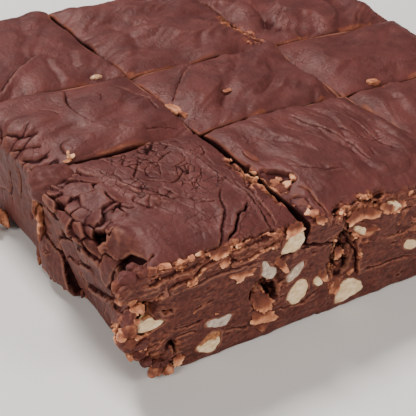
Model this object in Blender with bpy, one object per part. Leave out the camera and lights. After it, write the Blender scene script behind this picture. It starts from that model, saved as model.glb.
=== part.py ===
"""A slab of chocolate fudge with almonds, cut into nine squares that still lie together.

The fudge set in a tin whose walls lean outwards, so the left and back walls of the slab lean
in towards the bottom. The front and the right end are knife cuts, and show cut almonds.
The frame is +Z up, +X along the front, and the origin is at the bottom, in the middle.
Sizes are in millimetres in this file, and become metres where a mesh is written.
"""

import math

import bmesh
import bpy
from mathutils import Euler, Matrix, Vector, noise

MM = 0.001

# The slab. X runs from the left tin wall to the right end, Y from the front cut to the back wall.
SLAB_LENGTH = 151.5
SLAB_DEPTH = 127.5
SLAB_HEIGHT = 36.0
COLUMN_CUTS = (0.0, 47.8, 98.6, SLAB_LENGTH)
ROW_CUTS = (0.0, 45.0, 79.6, SLAB_DEPTH)
COLUMN_NAMES = ("left", "centre", "right")
ROW_NAMES = ("front", "middle", "back")

# The walls.
TIN_WALL_INSET = 8.5
BACK_WALL_INSET = 5.0
FRONT_CUT_INSET = 2.4
TIN_FOOT_ROUNDING = 2.6
KNIFE_GAP = 0.6
# How far each kind of wall strays from true, and over what length.
CUT_WANDER = (0.7, 24.0)
TIN_WALL_DENTS = (0.6, 15.0)
FRONT_ROUGHNESS = (0.8, 9.0)
END_ROUGHNESS = (0.8, 11.0)

# The top of each square is a pillow. The knife dragged the skin down over its left and front
# edges, and left the right and back edges crisp. Each tuple runs along the columns or rows.
PILLOW_RISE = 1.2
LEFT_DROPS = (3.0, 1.7, 1.6)
RIGHT_DROPS = (0.6, 0.6, 1.0)
FRONT_DROPS = (2.5, 1.6, 1.5)
BACK_DROPS = (0.4, 0.5, 2.2)
SOFT_POWER = 3.5
CRISP_POWER = 8.0
SKIN_WAVES = (0.8, 17.0)

# On the front left square a plate of skin ends at a crest, and the folds beside it lie lower:
# the crest's x at CREST_START, how far it moves left with every millimetre back, and the step.
CREST_START = 12.0
CREST_X = 23.0
CREST_SLANT = 0.4
CREST_STEP = 1.1
CREST_WIDTH = 3.5
CREST_FADE = 6.0

# The two front squares on the left were cut a little way down and then torn apart.
TEAR_TOP = 27.4
TEAR_BOTTOM = 23.6
TEAR_SHIFT = 12.0
TEAR_DEPTH = 24.0
TEAR_GAP = 3.2

# Where the knife left a wider slot: (cut, low end, high end, extra width), along the cut.
COLUMN_SLOTS = ((1, -6.0, 42.0, 2.2), (1, 100.0, 122.0, 1.3))
ROW_SLOTS = ((1, 8.0, 27.0, 1.5),)
SLOT_FLOOR = 22.0
SLOT_TAPER = 10.0
SLOT_ENDS = 6.0

# Around the near corner the skin buckled as the slab was lifted. Each form has its centre, how
# far it reaches each way, and its push, on the front left square.
CORNER_FORMS = (
    ((1.0, 41.5, 34.0), (8.0, 7.5, 7.0), (-2.6, 0.0, 1.4)),
    ((1.0, 31.0, 33.0), (5.5, 5.5, 5.5), (-2.4, 0.0, 0.4)),
    ((2.0, 22.5, 31.0), (5.0, 5.0, 5.0), (-2.2, 0.0, -0.2)),
    ((0.0, 14.8, 34.0), (3.8, 3.6, 3.6), (2.6, 0.0, -3.0)),
    ((0.5, 7.2, 34.5), (4.6, 3.8, 4.4), (2.0, 0.0, -3.8)),
    ((0.0, -0.5, 30.5), (7.5, 5.0, 7.0), (-7.4, -2.0, 0.6)),
    ((4.0, 1.5, 21.5), (5.0, 3.5, 3.0), (0.8, 2.4, 0.0)),
    ((4.5, 4.0, 13.5), (9.0, 10.0, 6.5), (-6.2, -0.6, 0.0)),
    ((11.0, 1.0, 0.0), (5.0, 4.0, 4.0), (2.0, 1.2, 0.0)),
)
FRONT_LIMIT = -1.2
# The corner's forms don't lift the slab's base: they reach their full height here.
BASE_FADE = 6.0

# Hollows torn in the front cut: (x, height, half width, half height, depth).
FRONT_HOLLOWS = (
    (65.5, 18.5, 5.5, 9.5, 1.7),
    (39.5, 16.8, 4.5, 3.0, 1.9),
    (3.0, 22.5, 3.5, 6.0, 1.2),
    (66.0, 33.0, 8.0, 2.5, 1.2),
    (104.0, 18.0, 4.0, 7.0, 1.3),
)

# Almond pieces. A face piece is (name, x along the face, height, half length, half height, roll).
ALMOND_DEPTH = 2.6
ALMOND_TAPER = 0.16
ALMOND_FIT = 0.35
ALMOND_PROUD = 0.2
BED_REACH = 4.0
FRONT_ALMONDS = (
    ("top_edge", 43.0, 29.0, 3.7, 2.7, 66),
    ("upper", 38.5, 22.8, 3.8, 2.2, 112),
    ("slanted", 47.7, 19.0, 3.7, 1.8, 48),
    ("large", 50.2, 11.6, 4.7, 3.1, 52),
    ("small", 57.0, 12.6, 2.2, 1.5, 20),
    ("foot", 69.6, 5.0, 4.8, 2.7, 12),
    ("corner", 6.2, 18.2, 3.3, 1.8, 10),
    ("sliver", 25.7, 11.4, 3.9, 1.4, -8),
    ("skinned", 24.0, 4.9, 3.7, 2.3, 4),
    ("ledge", 70.0, 24.0, 3.4, 1.9, -30),
    ("rim", 77.0, 30.0, 3.5, 1.8, -15),
    ("mid", 88.2, 14.0, 3.1, 1.7, -20),
    ("right_low", 107.5, 8.6, 4.3, 2.3, 30),
    ("right_high", 114.0, 25.2, 3.7, 1.9, -24),
    ("right_mid", 124.5, 15.8, 4.5, 2.6, 62),
    ("right_rim", 133.0, 27.6, 3.4, 1.8, 10),
    ("right_foot", 138.5, 7.2, 3.8, 2.2, -12),
)
END_ALMONDS = (
    ("near", 12.0, 12.8, 4.1, 2.3, 24),
    ("near_high", 24.5, 26.0, 3.5, 1.9, -35),
    ("near_foot", 36.0, 7.6, 3.9, 2.2, 8),
    ("middle", 58.0, 17.8, 4.5, 2.5, 55),
    ("middle_foot", 70.5, 8.4, 3.1, 1.7, -18),
    ("far_high", 91.0, 25.0, 3.8, 2.1, 16),
    ("far", 104.0, 12.6, 4.3, 2.4, -40),
)
# Whole pieces that show at the top: (name, centre, half lengths, turn about Z).
TOP_ALMONDS = (
    ("in_slot", (51.2, 12.5, 33.6), (3.0, 1.7, 1.8), 12),
    ("crossing", (51.6, 58.0, 34.4), (2.6, 3.2, 1.7), 20),
    ("back_cut", (39.5, 82.6, 35.2), (2.9, 1.8, 1.5), 5),
    ("back_cut_small", (30.0, 82.2, 35.0), (2.6, 1.5, 1.3), -8),
    ("right_cut", (113.5, 42.4, 35.4), (2.4, 1.8, 1.7), 35),
)

# A crumb curled up against the foot of the left wall: the middle of the curl, its radii across
# and along the wall, the crumb's half thickness at its middle and its ends, its height for that
# thickness, how much one end is lifted, and the angles between which it curls.
CRUMB_CENTRE = (5.0, 71.5, 3.3)
CRUMB_CURL_RADII = (1.65, 3.0)
CRUMB_HALF_THICKNESS = 1.7
CRUMB_END_THICKNESS = 0.75
CRUMB_HEIGHT = 1.5
CRUMB_LIFT = 0.8
CRUMB_ENDS = (-35.0, 205.0)
CRUMB_STEPS = 9
CRUMB_SIDES = 7

# How finely each square is cut into a grid, across and up. The two torn squares are finer.
PLAIN_CUTS = (8, 3)
TORN_CUTS = {(0, 0): (12, 8), (1, 0): (8, 8)}
# The walls' places depend on each other, so they are worked out a few times over.
SETTLING_ROUNDS = 3
ALMOND_SEGMENTS = 9
ALMOND_RINGS = 5

FUDGE_COLOUR = (0.16, 0.062, 0.042, 1.0)
ALMOND_COLOUR = (0.78, 0.68, 0.48, 1.0)
FUDGE_ROUGHNESS = 0.5
ALMOND_ROUGHNESS = 0.55


def clear_scene():
    for obj in list(bpy.data.objects):
        bpy.data.objects.remove(obj, do_unlink=True)


def new_collection(name, hidden=False):
    collection = bpy.data.collections.new(name)
    bpy.context.scene.collection.children.link(collection)
    collection.hide_render = hidden
    return collection


def plain_material(name, colour, roughness):
    material = bpy.data.materials.new(name)
    material.use_nodes = True
    shader = material.node_tree.nodes["Principled BSDF"]
    shader.inputs["Base Color"].default_value = colour
    shader.inputs["Roughness"].default_value = roughness
    return material


def lerp(low, high, share):
    return low + (high - low) * share


def ease(share):
    share = min(1.0, max(0.0, share))
    return share * share * (3.0 - 2.0 * share)


def bump(value, low, high, soft):
    """1 between low and high, falling to 0 over a length of soft outside them."""
    return ease((value - low) / soft + 1.0) * ease((high - value) / soft + 1.0)


def wave(seed, a, b, size_and_length):
    """Smooth noise over two lengths, up to about its size each way."""
    size, length = size_and_length
    return size * noise.noise(Vector((a / length, b / length, seed * 7.31)))


def tear(y, z):
    """How far the first column cut is shifted to the right by the tear, at depth y and height z."""
    torn = ease((TEAR_TOP - z) / (TEAR_TOP - TEAR_BOTTOM))
    return TEAR_SHIFT * torn * (1.0 - ease(y / TEAR_DEPTH))


def column_cut(index, y, z):
    """The middle of a column cut, as an x."""
    shift = tear(y, z) if index == 1 else 0.0
    return COLUMN_CUTS[index] + shift + wave(index, y, z, CUT_WANDER)


def row_cut(index, x, z):
    """The middle of a row cut, as a y."""
    return ROW_CUTS[index] + wave(index + 5, x, z, CUT_WANDER)


def half_gap(slots, index, along, z):
    """Half the width of a cut. It opens towards the top where the knife left a slot."""
    width = KNIFE_GAP
    for slot, low, high, extra in slots:
        if slot == index:
            width += extra * bump(along, low, high, SLOT_ENDS) * ease((z - SLOT_FLOOR) / SLOT_TAPER)
    return width / 2


def column_gap(index, y, z):
    flat_part = bump(z, TEAR_BOTTOM, TEAR_TOP, 1.5) * (1.0 - ease(y / TEAR_DEPTH))
    torn = TEAR_GAP * flat_part / 2 if index == 1 else 0.0
    return half_gap(COLUMN_SLOTS, index, y, z) + torn


def lean(inset, z):
    """How far a tin wall has come in at height z, with a rounded foot."""
    rounding = max(0.0, 1.0 - z / (2 * TIN_FOOT_ROUNDING)) ** 2
    return inset * (1.0 - z / SLAB_HEIGHT) + TIN_FOOT_ROUNDING * rounding


def left_limit(column, y, z):
    if column == 0:
        return lean(TIN_WALL_INSET, z) + abs(wave(31, y, z, TIN_WALL_DENTS))
    return column_cut(column, y, z) + column_gap(column, y, z)


def right_limit(column, y, z):
    if column == len(COLUMN_NAMES) - 1:
        return SLAB_LENGTH - abs(wave(32, y, z, END_ROUGHNESS))
    return column_cut(column + 1, y, z) - column_gap(column + 1, y, z)


def front_hollow(x, z):
    """How deep the torn hollows are at a place on the front cut."""
    depth = 0.0
    for centre_x, centre_z, half_width, half_height, deepest in FRONT_HOLLOWS:
        away = math.hypot((x - centre_x) / half_width, (z - centre_z) / half_height)
        depth += deepest * ease(1.6 - away)
    return depth


def front_limit(row, x, z):
    if row == 0:
        rough = abs(wave(33, x, z, FRONT_ROUGHNESS)) + front_hollow(x, z)
        return FRONT_CUT_INSET * (1.0 - z / SLAB_HEIGHT) + rough
    return row_cut(row, x, z) + half_gap(ROW_SLOTS, row, x, z)


def back_limit(row, x, z):
    if row == len(ROW_NAMES) - 1:
        return SLAB_DEPTH - lean(BACK_WALL_INSET, z)
    return row_cut(row + 1, x, z) - half_gap(ROW_SLOTS, row + 1, x, z)


def edge_drop(share, low_drop, high_drop):
    """How far the top has fallen at a share of the way across a square."""
    low = low_drop * max(0.0, 1.0 - 2.0 * share) ** SOFT_POWER
    return low + high_drop * max(0.0, 2.0 * share - 1.0) ** CRISP_POWER


def crest_step(x, y):
    """How far the folds left of the front left square's crest lie below its plate of skin."""
    crest = CREST_X - CREST_SLANT * (y - CREST_START)
    return CREST_STEP * ease((crest - x) / CREST_WIDTH) * ease((y - CREST_START) / CREST_FADE)


def top_height(column, row, u, v, x, y):
    """The height of a square's top at shares u and v of its width and depth."""
    across = edge_drop(u, LEFT_DROPS[column], RIGHT_DROPS[column])
    along = edge_drop(v, FRONT_DROPS[row], BACK_DROPS[row])
    rise = PILLOW_RISE * (1.0 - (2 * u - 1) ** 4) * (1.0 - (2 * v - 1) ** 4)
    folds = wave(51, x, y, SKIN_WAVES)
    if column == 0 and row == 0:
        folds -= crest_step(x, y)
    return SLAB_HEIGHT + rise - math.hypot(across, along) + folds


def corner_push(point):
    """The move that the buckled near corner gives a point."""
    move = Vector((0, 0, 0))
    for centre, reach, push in CORNER_FORMS:
        away = [(at - middle) / far for at, middle, far in zip(point, centre, reach)]
        move += Vector(push) * math.exp(-Vector(away).length_squared)
    return move


def grid_cube(side_cuts, height_cuts):
    """A cube from 0 to 1 each way, cut into a grid."""
    bm = bmesh.new()
    bmesh.ops.create_cube(bm, size=1.0, matrix=Matrix.Translation((0.5, 0.5, 0.5)))
    for axis, cuts in enumerate((side_cuts, side_cuts, height_cuts)):
        edges = [
            e for e in bm.edges if abs((e.verts[0].co - e.verts[1].co)[axis]) > 0.5
        ]
        bmesh.ops.subdivide_edges(bm, edges=edges, cuts=cuts)
    return bm


def spread(share):
    """Moves grid lines towards both ends, where a square is most curved."""
    return lerp(share, 0.5 - 0.5 * math.cos(math.pi * share), 0.6)


def form_square(bm, column, row):
    for vert in bm.verts:
        u, v, w = (spread(share) for share in vert.co)
        x = lerp(COLUMN_CUTS[column], COLUMN_CUTS[column + 1], u)
        y = lerp(ROW_CUTS[row], ROW_CUTS[row + 1], v)
        z = w * top_height(column, row, u, v, x, y)
        for _ in range(SETTLING_ROUNDS):
            x = lerp(left_limit(column, y, z), right_limit(column, y, z), u)
            y = lerp(front_limit(row, x, z), back_limit(row, x, z), v)
        point = Vector((x, y, z))
        if column == 0 and row == 0:
            lifted = ease(point.z / BASE_FADE)
            point += corner_push(point) * Vector((1, 1, lifted))
            point.y = max(point.y, FRONT_LIMIT)
        vert.co = point * MM
    base = [f for f in bm.faces if all(abs(vert.co.z) < 1e-6 for vert in f.verts)]
    bmesh.ops.dissolve_faces(bm, faces=base, use_verts=False)


def finish_object(bm, name, collection, material, smooth_angle=50):
    mesh = bpy.data.meshes.new(name)
    bmesh.ops.recalc_face_normals(bm, faces=bm.faces)
    bm.to_mesh(mesh)
    bm.free()
    mesh.materials.append(material)
    mesh.shade_smooth()
    mesh.set_sharp_from_angle(angle=math.radians(smooth_angle))
    obj = bpy.data.objects.new(name, mesh)
    collection.objects.link(obj)
    return obj


def make_square(column, row, collection, material):
    bm = grid_cube(*TORN_CUTS.get((column, row), PLAIN_CUTS))
    form_square(bm, column, row)
    name = f"square_{ROW_NAMES[row]}_{COLUMN_NAMES[column]}"
    return finish_object(bm, name, collection, material)


def almond_mesh(centre, half_sizes, turn, extra=0.0):
    """An almond piece as a bmesh: an egg, blunter at one end, grown all round by extra."""
    bm = bmesh.new()
    bmesh.ops.create_uvsphere(
        bm,
        u_segments=ALMOND_SEGMENTS,
        v_segments=ALMOND_RINGS,
        radius=1.0,
        matrix=Matrix.Rotation(math.radians(90), 4, "X"),
    )
    grown = Vector(half_sizes) + Vector((extra, extra, extra))
    for vert in bm.verts:
        egg = 1.0 - ALMOND_TAPER * vert.co.x
        vert.co = Vector((vert.co.x * grown.x, vert.co.y * grown.y * egg, vert.co.z * grown.z * egg))
    bmesh.ops.transform(bm, matrix=Matrix.Translation(centre) @ turn, verts=bm.verts)
    return bm


def cut_flat(bm, point, outward):
    """Slices off what lies beyond a plane, closes the cut, and gives back the new face."""
    geometry = bm.verts[:] + bm.edges[:] + bm.faces[:]
    cut = bmesh.ops.bisect_plane(
        bm, geom=geometry, plane_co=point, plane_no=outward, clear_outer=True
    )
    rim = [g for g in cut["geom_cut"] if isinstance(g, bmesh.types.BMEdge)]
    return bmesh.ops.holes_fill(bm, edges=rim, sides=0)["faces"]


def open_bed(face, outward, sizes, turn):
    """The bed of a sliced almond: the almond's inner half, carried straight out of the cut face."""
    bm = almond_mesh(face, sizes, turn, ALMOND_FIT)
    mouth = cut_flat(bm, face, outward)
    grown = bmesh.ops.extrude_face_region(bm, geom=mouth)["geom"]
    bmesh.ops.delete(bm, geom=mouth, context="FACES_ONLY")
    moved = [g for g in grown if isinstance(g, bmesh.types.BMVert)]
    bmesh.ops.translate(bm, vec=outward * BED_REACH, verts=moved)
    return bm


def scaled_to_metres(bm):
    bmesh.ops.scale(bm, vec=(MM, MM, MM), verts=bm.verts)
    return bm


def socket(square, name, bm, cutters, material):
    """Cuts the almond's bed out of its square."""
    cutter = finish_object(scaled_to_metres(bm), name + "_bed", cutters, material)
    cutter.hide_render = True
    cutter.display_type = "WIRE"
    cut = square.modifiers.new(name + "_bed", "BOOLEAN")
    cut.operation = "DIFFERENCE"
    cut.object = cutter


def square_at(squares, x, y):
    column = sum(x > cut for cut in COLUMN_CUTS[1:-1])
    row = sum(y > cut for cut in ROW_CUTS[1:-1])
    return squares[column, row]


def face_almond(squares, name, centre, outward, sizes, turn, collections, material):
    """An almond sliced level with a cut face."""
    parts, cutters = collections
    face = Vector(centre)
    outward = Vector(outward)
    almond = almond_mesh(face, sizes, turn)
    cut_flat(almond, face + outward * ALMOND_PROUD, outward)
    finish_object(scaled_to_metres(almond), name, parts, material)
    socket(squares, name, open_bed(face, outward, sizes, turn), cutters, material)


def front_square(squares, x, z):
    """The square that shows at a place on the front, where the tear moves the first cut."""
    column = sum(x > column_cut(k, 0.0, z) for k in (1, 2))
    return squares[column, 0]


def make_almonds(squares, collections, material):
    for label, x, z, half_length, half_height, roll in FRONT_ALMONDS:
        centre = (x, front_limit(0, x, z), z)
        turn = Euler((0, math.radians(-roll), 0)).to_matrix().to_4x4()
        sizes = (half_length, ALMOND_DEPTH, half_height)
        square = front_square(squares, x, z)
        face_almond(square, "almond_front_" + label, centre, (0, -1, 0), sizes, turn, collections, material)
    for label, y, z, half_length, half_height, roll in END_ALMONDS:
        centre = (right_limit(2, y, z), y, z)
        turn = Euler((math.radians(roll), 0, math.radians(90)), "ZXY").to_matrix().to_4x4()
        sizes = (half_length, ALMOND_DEPTH, half_height)
        square = square_at(squares, SLAB_LENGTH, y)
        face_almond(square, "almond_end_" + label, centre, (1, 0, 0), sizes, turn, collections, material)
    parts, cutters = collections
    for label, centre, sizes, turn_degrees in TOP_ALMONDS:
        turn = Matrix.Rotation(math.radians(turn_degrees), 4, "Z")
        name = "almond_" + label
        finish_object(scaled_to_metres(almond_mesh(centre, sizes, turn)), name, parts, material)
        bed = almond_mesh(centre, sizes, turn, ALMOND_FIT)
        socket(square_at(squares, centre[0], centre[1]), name, bed, cutters, material)


def make_crumb(collection, material):
    """The curled crumb: a cylinder bent round, thickest in its middle and flat where it lies."""
    bm = bmesh.new()
    bmesh.ops.create_cone(
        bm, segments=CRUMB_SIDES, radius1=1.0, radius2=1.0, depth=1.0, cap_ends=True
    )
    upright = [e for e in bm.edges if abs(e.verts[0].co.z - e.verts[1].co.z) > 0.5]
    bmesh.ops.subdivide_edges(bm, edges=upright, cuts=CRUMB_STEPS)
    across, along = CRUMB_CURL_RADII
    middle = Vector(CRUMB_CENTRE)
    for vert in bm.verts:
        share = vert.co.z + 0.5
        angle = math.radians(lerp(*CRUMB_ENDS, share))
        thickness = lerp(CRUMB_END_THICKNESS, CRUMB_HALF_THICKNESS, math.sin(math.pi * share))
        grown = 1.0 + thickness * vert.co.x / along
        lift = CRUMB_LIFT * math.sin(angle) + CRUMB_HEIGHT * thickness * vert.co.y
        vert.co = middle + Vector((across * grown * math.cos(angle), along * grown * math.sin(angle), lift))
        vert.co.z = max(0.0, vert.co.z)
    finish_object(scaled_to_metres(bm), "crumb_left_foot", collection, material)


def centre_on_origin(collection):
    """Parents every piece to one empty, placed so that the slab's box stands centred on the origin."""
    corners = [v.co for obj in collection.objects for v in obj.data.vertices]
    low = [min(c[axis] for c in corners) for axis in range(3)]
    high = [max(c[axis] for c in corners) for axis in range(3)]
    slab = bpy.data.objects.new("fudge_slab", None)
    bpy.context.scene.collection.objects.link(slab)
    slab.location = (-(low[0] + high[0]) / 2, -(low[1] + high[1]) / 2, -low[2])
    return slab


def main():
    clear_scene()
    parts = new_collection("chocolate_fudge")
    cutters = new_collection("almond_beds", hidden=True)
    fudge = plain_material("fudge", FUDGE_COLOUR, FUDGE_ROUGHNESS)
    almond = plain_material("almond", ALMOND_COLOUR, ALMOND_ROUGHNESS)
    squares = {
        (column, row): make_square(column, row, parts, fudge)
        for row in range(len(ROW_NAMES))
        for column in range(len(COLUMN_NAMES))
    }
    make_almonds(squares, (parts, cutters), almond)
    make_crumb(parts, fudge)
    slab = centre_on_origin(parts)
    for obj in [*parts.objects, *cutters.objects]:
        obj.parent = slab


main()
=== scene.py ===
import math

import bpy
import bmesh
import numpy as np
from mathutils import Euler, Matrix, Vector, noise


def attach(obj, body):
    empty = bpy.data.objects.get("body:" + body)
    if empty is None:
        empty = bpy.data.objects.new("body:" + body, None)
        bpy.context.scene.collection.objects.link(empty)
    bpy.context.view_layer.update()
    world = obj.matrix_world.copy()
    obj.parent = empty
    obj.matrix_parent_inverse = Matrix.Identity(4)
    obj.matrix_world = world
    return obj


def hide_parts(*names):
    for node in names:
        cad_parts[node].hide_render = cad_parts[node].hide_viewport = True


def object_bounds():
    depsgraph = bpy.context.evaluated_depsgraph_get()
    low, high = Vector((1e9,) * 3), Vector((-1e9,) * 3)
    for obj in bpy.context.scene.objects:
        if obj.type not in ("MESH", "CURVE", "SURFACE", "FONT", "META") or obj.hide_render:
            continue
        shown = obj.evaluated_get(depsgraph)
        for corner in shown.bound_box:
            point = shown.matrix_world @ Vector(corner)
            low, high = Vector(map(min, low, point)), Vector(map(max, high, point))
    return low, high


# The looks of a slab of almond chocolate fudge, cut into nine squares that lie together.
# Sizes are in millimetres in the slab's own frame, as in its source: X from the left tin wall,
# Y back from the front cut, Z up from the base. They become metres where a mesh is written.

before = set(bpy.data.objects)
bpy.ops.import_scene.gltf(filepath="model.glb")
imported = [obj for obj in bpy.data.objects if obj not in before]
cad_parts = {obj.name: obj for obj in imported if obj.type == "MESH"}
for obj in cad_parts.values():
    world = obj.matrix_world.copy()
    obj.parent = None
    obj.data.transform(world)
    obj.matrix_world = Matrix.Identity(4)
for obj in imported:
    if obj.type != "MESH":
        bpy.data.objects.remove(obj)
CAD_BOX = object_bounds()

MM = 0.001
# Where the CAD box's right face and back face lie in the slab's own frame.
SLAB_RIGHT_FACE = 151.497
SLAB_BACK_FACE = 127.263
SLAB_CORNER = np.array((
    CAD_BOX[1].x / MM - SLAB_RIGHT_FACE,
    CAD_BOX[1].y / MM - SLAB_BACK_FACE,
    CAD_BOX[0].z / MM,
))
BOX_LOW = np.array(CAD_BOX[0]) / MM - SLAB_CORNER
BOX_HIGH = np.array(CAD_BOX[1]) / MM - SLAB_CORNER
BOX_MARGIN = 0.03

# The slab, its cuts and its walls, as the source has them.
SLAB_LENGTH = 151.5
SLAB_DEPTH = 127.5
SLAB_HEIGHT = 36.0
COLUMN_CUTS = (0.0, 47.8, 98.6, SLAB_LENGTH)
ROW_CUTS = (0.0, 45.0, 79.6, SLAB_DEPTH)
COLUMN_NAMES = ("left", "centre", "right")
ROW_NAMES = ("front", "middle", "back")
TIN_WALL_INSET = 8.5
BACK_WALL_INSET = 5.0
FRONT_CUT_INSET = 2.4
TIN_FOOT_ROUNDING = 2.6
KNIFE_GAP = 0.6
CUT_WANDER = (0.7, 24.0)
TIN_WALL_DENTS = (0.6, 15.0)
FRONT_ROUGHNESS = (0.8, 9.0)
END_ROUGHNESS = (0.8, 11.0)
PILLOW_RISE = 1.2
LEFT_DROPS = (3.0, 1.7, 1.6)
RIGHT_DROPS = (0.6, 0.6, 1.0)
FRONT_DROPS = (2.5, 1.6, 1.5)
BACK_DROPS = (0.4, 0.5, 2.2)
SOFT_POWER = 3.5
CRISP_POWER = 8.0
SKIN_WAVES = (0.8, 17.0)
CREST_START = 12.0
CREST_X = 23.0
CREST_SLANT = 0.4
CREST_STEP = 1.1
CREST_WIDTH = 3.5
CREST_FADE = 6.0
TEAR_TOP = 27.4
TEAR_BOTTOM = 23.6
TEAR_SHIFT = 12.0
TEAR_DEPTH = 24.0
TEAR_GAP = 3.2
COLUMN_SLOTS = ((1, -6.0, 42.0, 2.2), (1, 100.0, 122.0, 1.3))
ROW_SLOTS = ((1, 8.0, 27.0, 1.5),)
SLOT_FLOOR = 22.0
SLOT_TAPER = 10.0
SLOT_ENDS = 6.0
CORNER_FORMS = (
    ((1.0, 41.5, 34.0), (8.0, 7.5, 7.0), (-2.6, 0.0, 1.4)),
    ((1.0, 31.0, 33.0), (5.5, 5.5, 5.5), (-2.4, 0.0, 0.4)),
    ((2.0, 22.5, 31.0), (5.0, 5.0, 5.0), (-2.2, 0.0, -0.2)),
    ((0.0, 14.8, 34.0), (3.8, 3.6, 3.6), (2.6, 0.0, -3.0)),
    ((0.5, 7.2, 34.5), (4.6, 3.8, 4.4), (2.0, 0.0, -3.8)),
    ((0.0, -0.5, 30.5), (7.5, 5.0, 7.0), (-7.4, -2.0, 0.6)),
    ((4.0, 1.5, 21.5), (5.0, 3.5, 3.0), (0.8, 2.4, 0.0)),
    ((4.5, 4.0, 13.5), (9.0, 10.0, 6.5), (-6.2, -0.6, 0.0)),
    ((11.0, 1.0, 0.0), (5.0, 4.0, 4.0), (2.0, 1.2, 0.0)),
)
FRONT_LIMIT = -1.2
BASE_FADE = 6.0
FRONT_HOLLOWS = (
    (65.5, 18.5, 5.5, 9.5, 1.7),
    (39.5, 16.8, 4.5, 3.0, 1.9),
    (3.0, 22.5, 3.5, 6.0, 1.2),
    (66.0, 33.0, 8.0, 2.5, 1.2),
    (104.0, 18.0, 4.0, 7.0, 1.3),
)

# Almond pieces, as in the source. A face piece is (x along the face, height, half length,
# half height, roll), and a top piece is (centre, half lengths, turn about Z).
ALMOND_DEPTH = 2.6
FRONT_ALMONDS = {
    "top_edge": (43.0, 29.0, 3.7, 2.7, 66),
    "upper": (38.5, 22.8, 3.8, 2.2, 112),
    "slanted": (47.7, 19.0, 3.7, 1.8, 48),
    "large": (50.2, 11.6, 4.7, 3.1, 52),
    "small": (57.0, 12.6, 2.2, 1.5, 20),
    "foot": (69.6, 5.0, 4.8, 2.7, 12),
    "corner": (6.2, 18.2, 3.3, 1.8, 10),
    "sliver": (25.7, 11.4, 3.9, 1.4, -8),
    "skinned": (24.0, 4.9, 3.7, 2.3, 4),
    "ledge": (70.0, 24.0, 3.4, 1.9, -30),
    "rim": (77.0, 30.0, 3.5, 1.8, -15),
    "mid": (88.2, 14.0, 3.1, 1.7, -20),
    "right_low": (107.5, 8.6, 4.3, 2.3, 30),
    "right_high": (114.0, 25.2, 3.7, 1.9, -24),
    "right_mid": (124.5, 15.8, 4.5, 2.6, 62),
    "right_rim": (133.0, 27.6, 3.4, 1.8, 10),
    "right_foot": (138.5, 7.2, 3.8, 2.2, -12),
}
END_ALMONDS = {
    "near": (12.0, 12.8, 4.1, 2.3, 24),
    "near_high": (24.5, 26.0, 3.5, 1.9, -35),
    "near_foot": (36.0, 7.6, 3.9, 2.2, 8),
    "middle": (58.0, 17.8, 4.5, 2.5, 55),
    "middle_foot": (70.5, 8.4, 3.1, 1.7, -18),
    "far_high": (91.0, 25.0, 3.8, 2.1, 16),
    "far": (104.0, 12.6, 4.3, 2.4, -40),
}
TOP_ALMONDS = {
    "in_slot": ((51.2, 12.5, 33.6), (3.0, 1.7, 1.8), 12),
    "crossing": ((51.6, 58.0, 34.4), (2.6, 3.2, 1.7), 20),
    "back_cut": ((39.5, 82.6, 35.2), (2.9, 1.8, 1.5), 5),
    "back_cut_small": ((30.0, 82.2, 35.0), (2.6, 1.5, 1.3), -8),
    "right_cut": ((113.5, 42.4, 35.4), (2.4, 1.8, 1.7), 35),
}


# ---------------------------------------------------------------- small sums

def lerp(low, high, share):
    return low + (high - low) * share


def ease(share):
    share = np.clip(share, 0.0, 1.0)
    return share * share * (3.0 - 2.0 * share)


def bump(value, low, high, soft):
    """1 between low and high, falling to 0 over a length of soft outside them."""
    return ease((value - low) / soft + 1.0) * ease((high - value) / soft + 1.0)


def length_of(vectors):
    return np.sqrt((vectors * vectors).sum(-1))


def bell(value):
    """1 at 0, falling off alike to both sides."""
    return np.exp(-value ** 2)


def with_zero(pairs):
    """Flat places as points whose third length is 0."""
    return np.column_stack([pairs, np.zeros(len(pairs))])


# ---------------------------------------------------------------- noise

WAVE_LOW, WAVE_HIGH = -20, 164
wave_tables = {}


def wave(seed, a, b, size_and_length):
    """The source's smooth noise over two lengths, read from a table with a step of 1 mm."""
    size, length = size_and_length
    if seed not in wave_tables:
        steps = [step / length for step in range(WAVE_LOW, WAVE_HIGH)]
        rows = [[noise.noise(Vector((i, j, seed * 7.31))) for j in steps] for i in steps]
        wave_tables[seed] = np.array(rows)
    table = wave_tables[seed]
    a, b = np.broadcast_arrays(np.asarray(a, float) - WAVE_LOW, np.asarray(b, float) - WAVE_LOW)
    i, j = (np.clip(np.floor(places).astype(int), 0, len(table) - 2) for places in (a, b))
    s, t = a - i, b - j
    near = lerp(table[i, j], table[i, j + 1], t)
    far = lerp(table[i + 1, j], table[i + 1, j + 1], t)
    return size * lerp(near, far, s)


dice = np.random.default_rng(11)
SHUFFLE = np.tile(dice.permutation(256), 3)
SLOPES = dice.normal(size=(256, 3))
SLOPES /= length_of(SLOPES)[:, None]
SPOTS = dice.random((256, 3))
CORNERS = [np.array((i, j, k)) for i in (0, 1) for j in (0, 1) for k in (0, 1)]
AROUND = [np.array((i, j, k)) for i in (-1, 0, 1) for j in (-1, 0, 1) for k in (-1, 0, 1)]


def shuffled(cells):
    x, y, z = (cells & 255).T
    return SHUFFLE[SHUFFLE[SHUFFLE[x] + y] + z]


def rough(points, size, seed=0):
    """Smooth noise from about -1 to 1. Its lumps are about one size across (one or three sizes)."""
    places = points / np.asarray(size, float) + seed * 13.7
    cells = np.floor(places).astype(int)
    inside = places - cells
    smooth = inside ** 3 * (inside * (inside * 6 - 15) + 10)
    total = np.zeros(len(points))
    for corner in CORNERS:
        slope = SLOPES[shuffled(cells + corner)]
        weight = np.where(corner == 1, smooth, 1 - smooth).prod(1)
        total += weight * (slope * (inside - corner)).sum(1)
    return total * 1.5


def shaken(points, size, seeds):
    """One column of smooth noise for each seed, to bend places with."""
    return np.column_stack([rough(points, size, seed) for seed in seeds])


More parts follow.
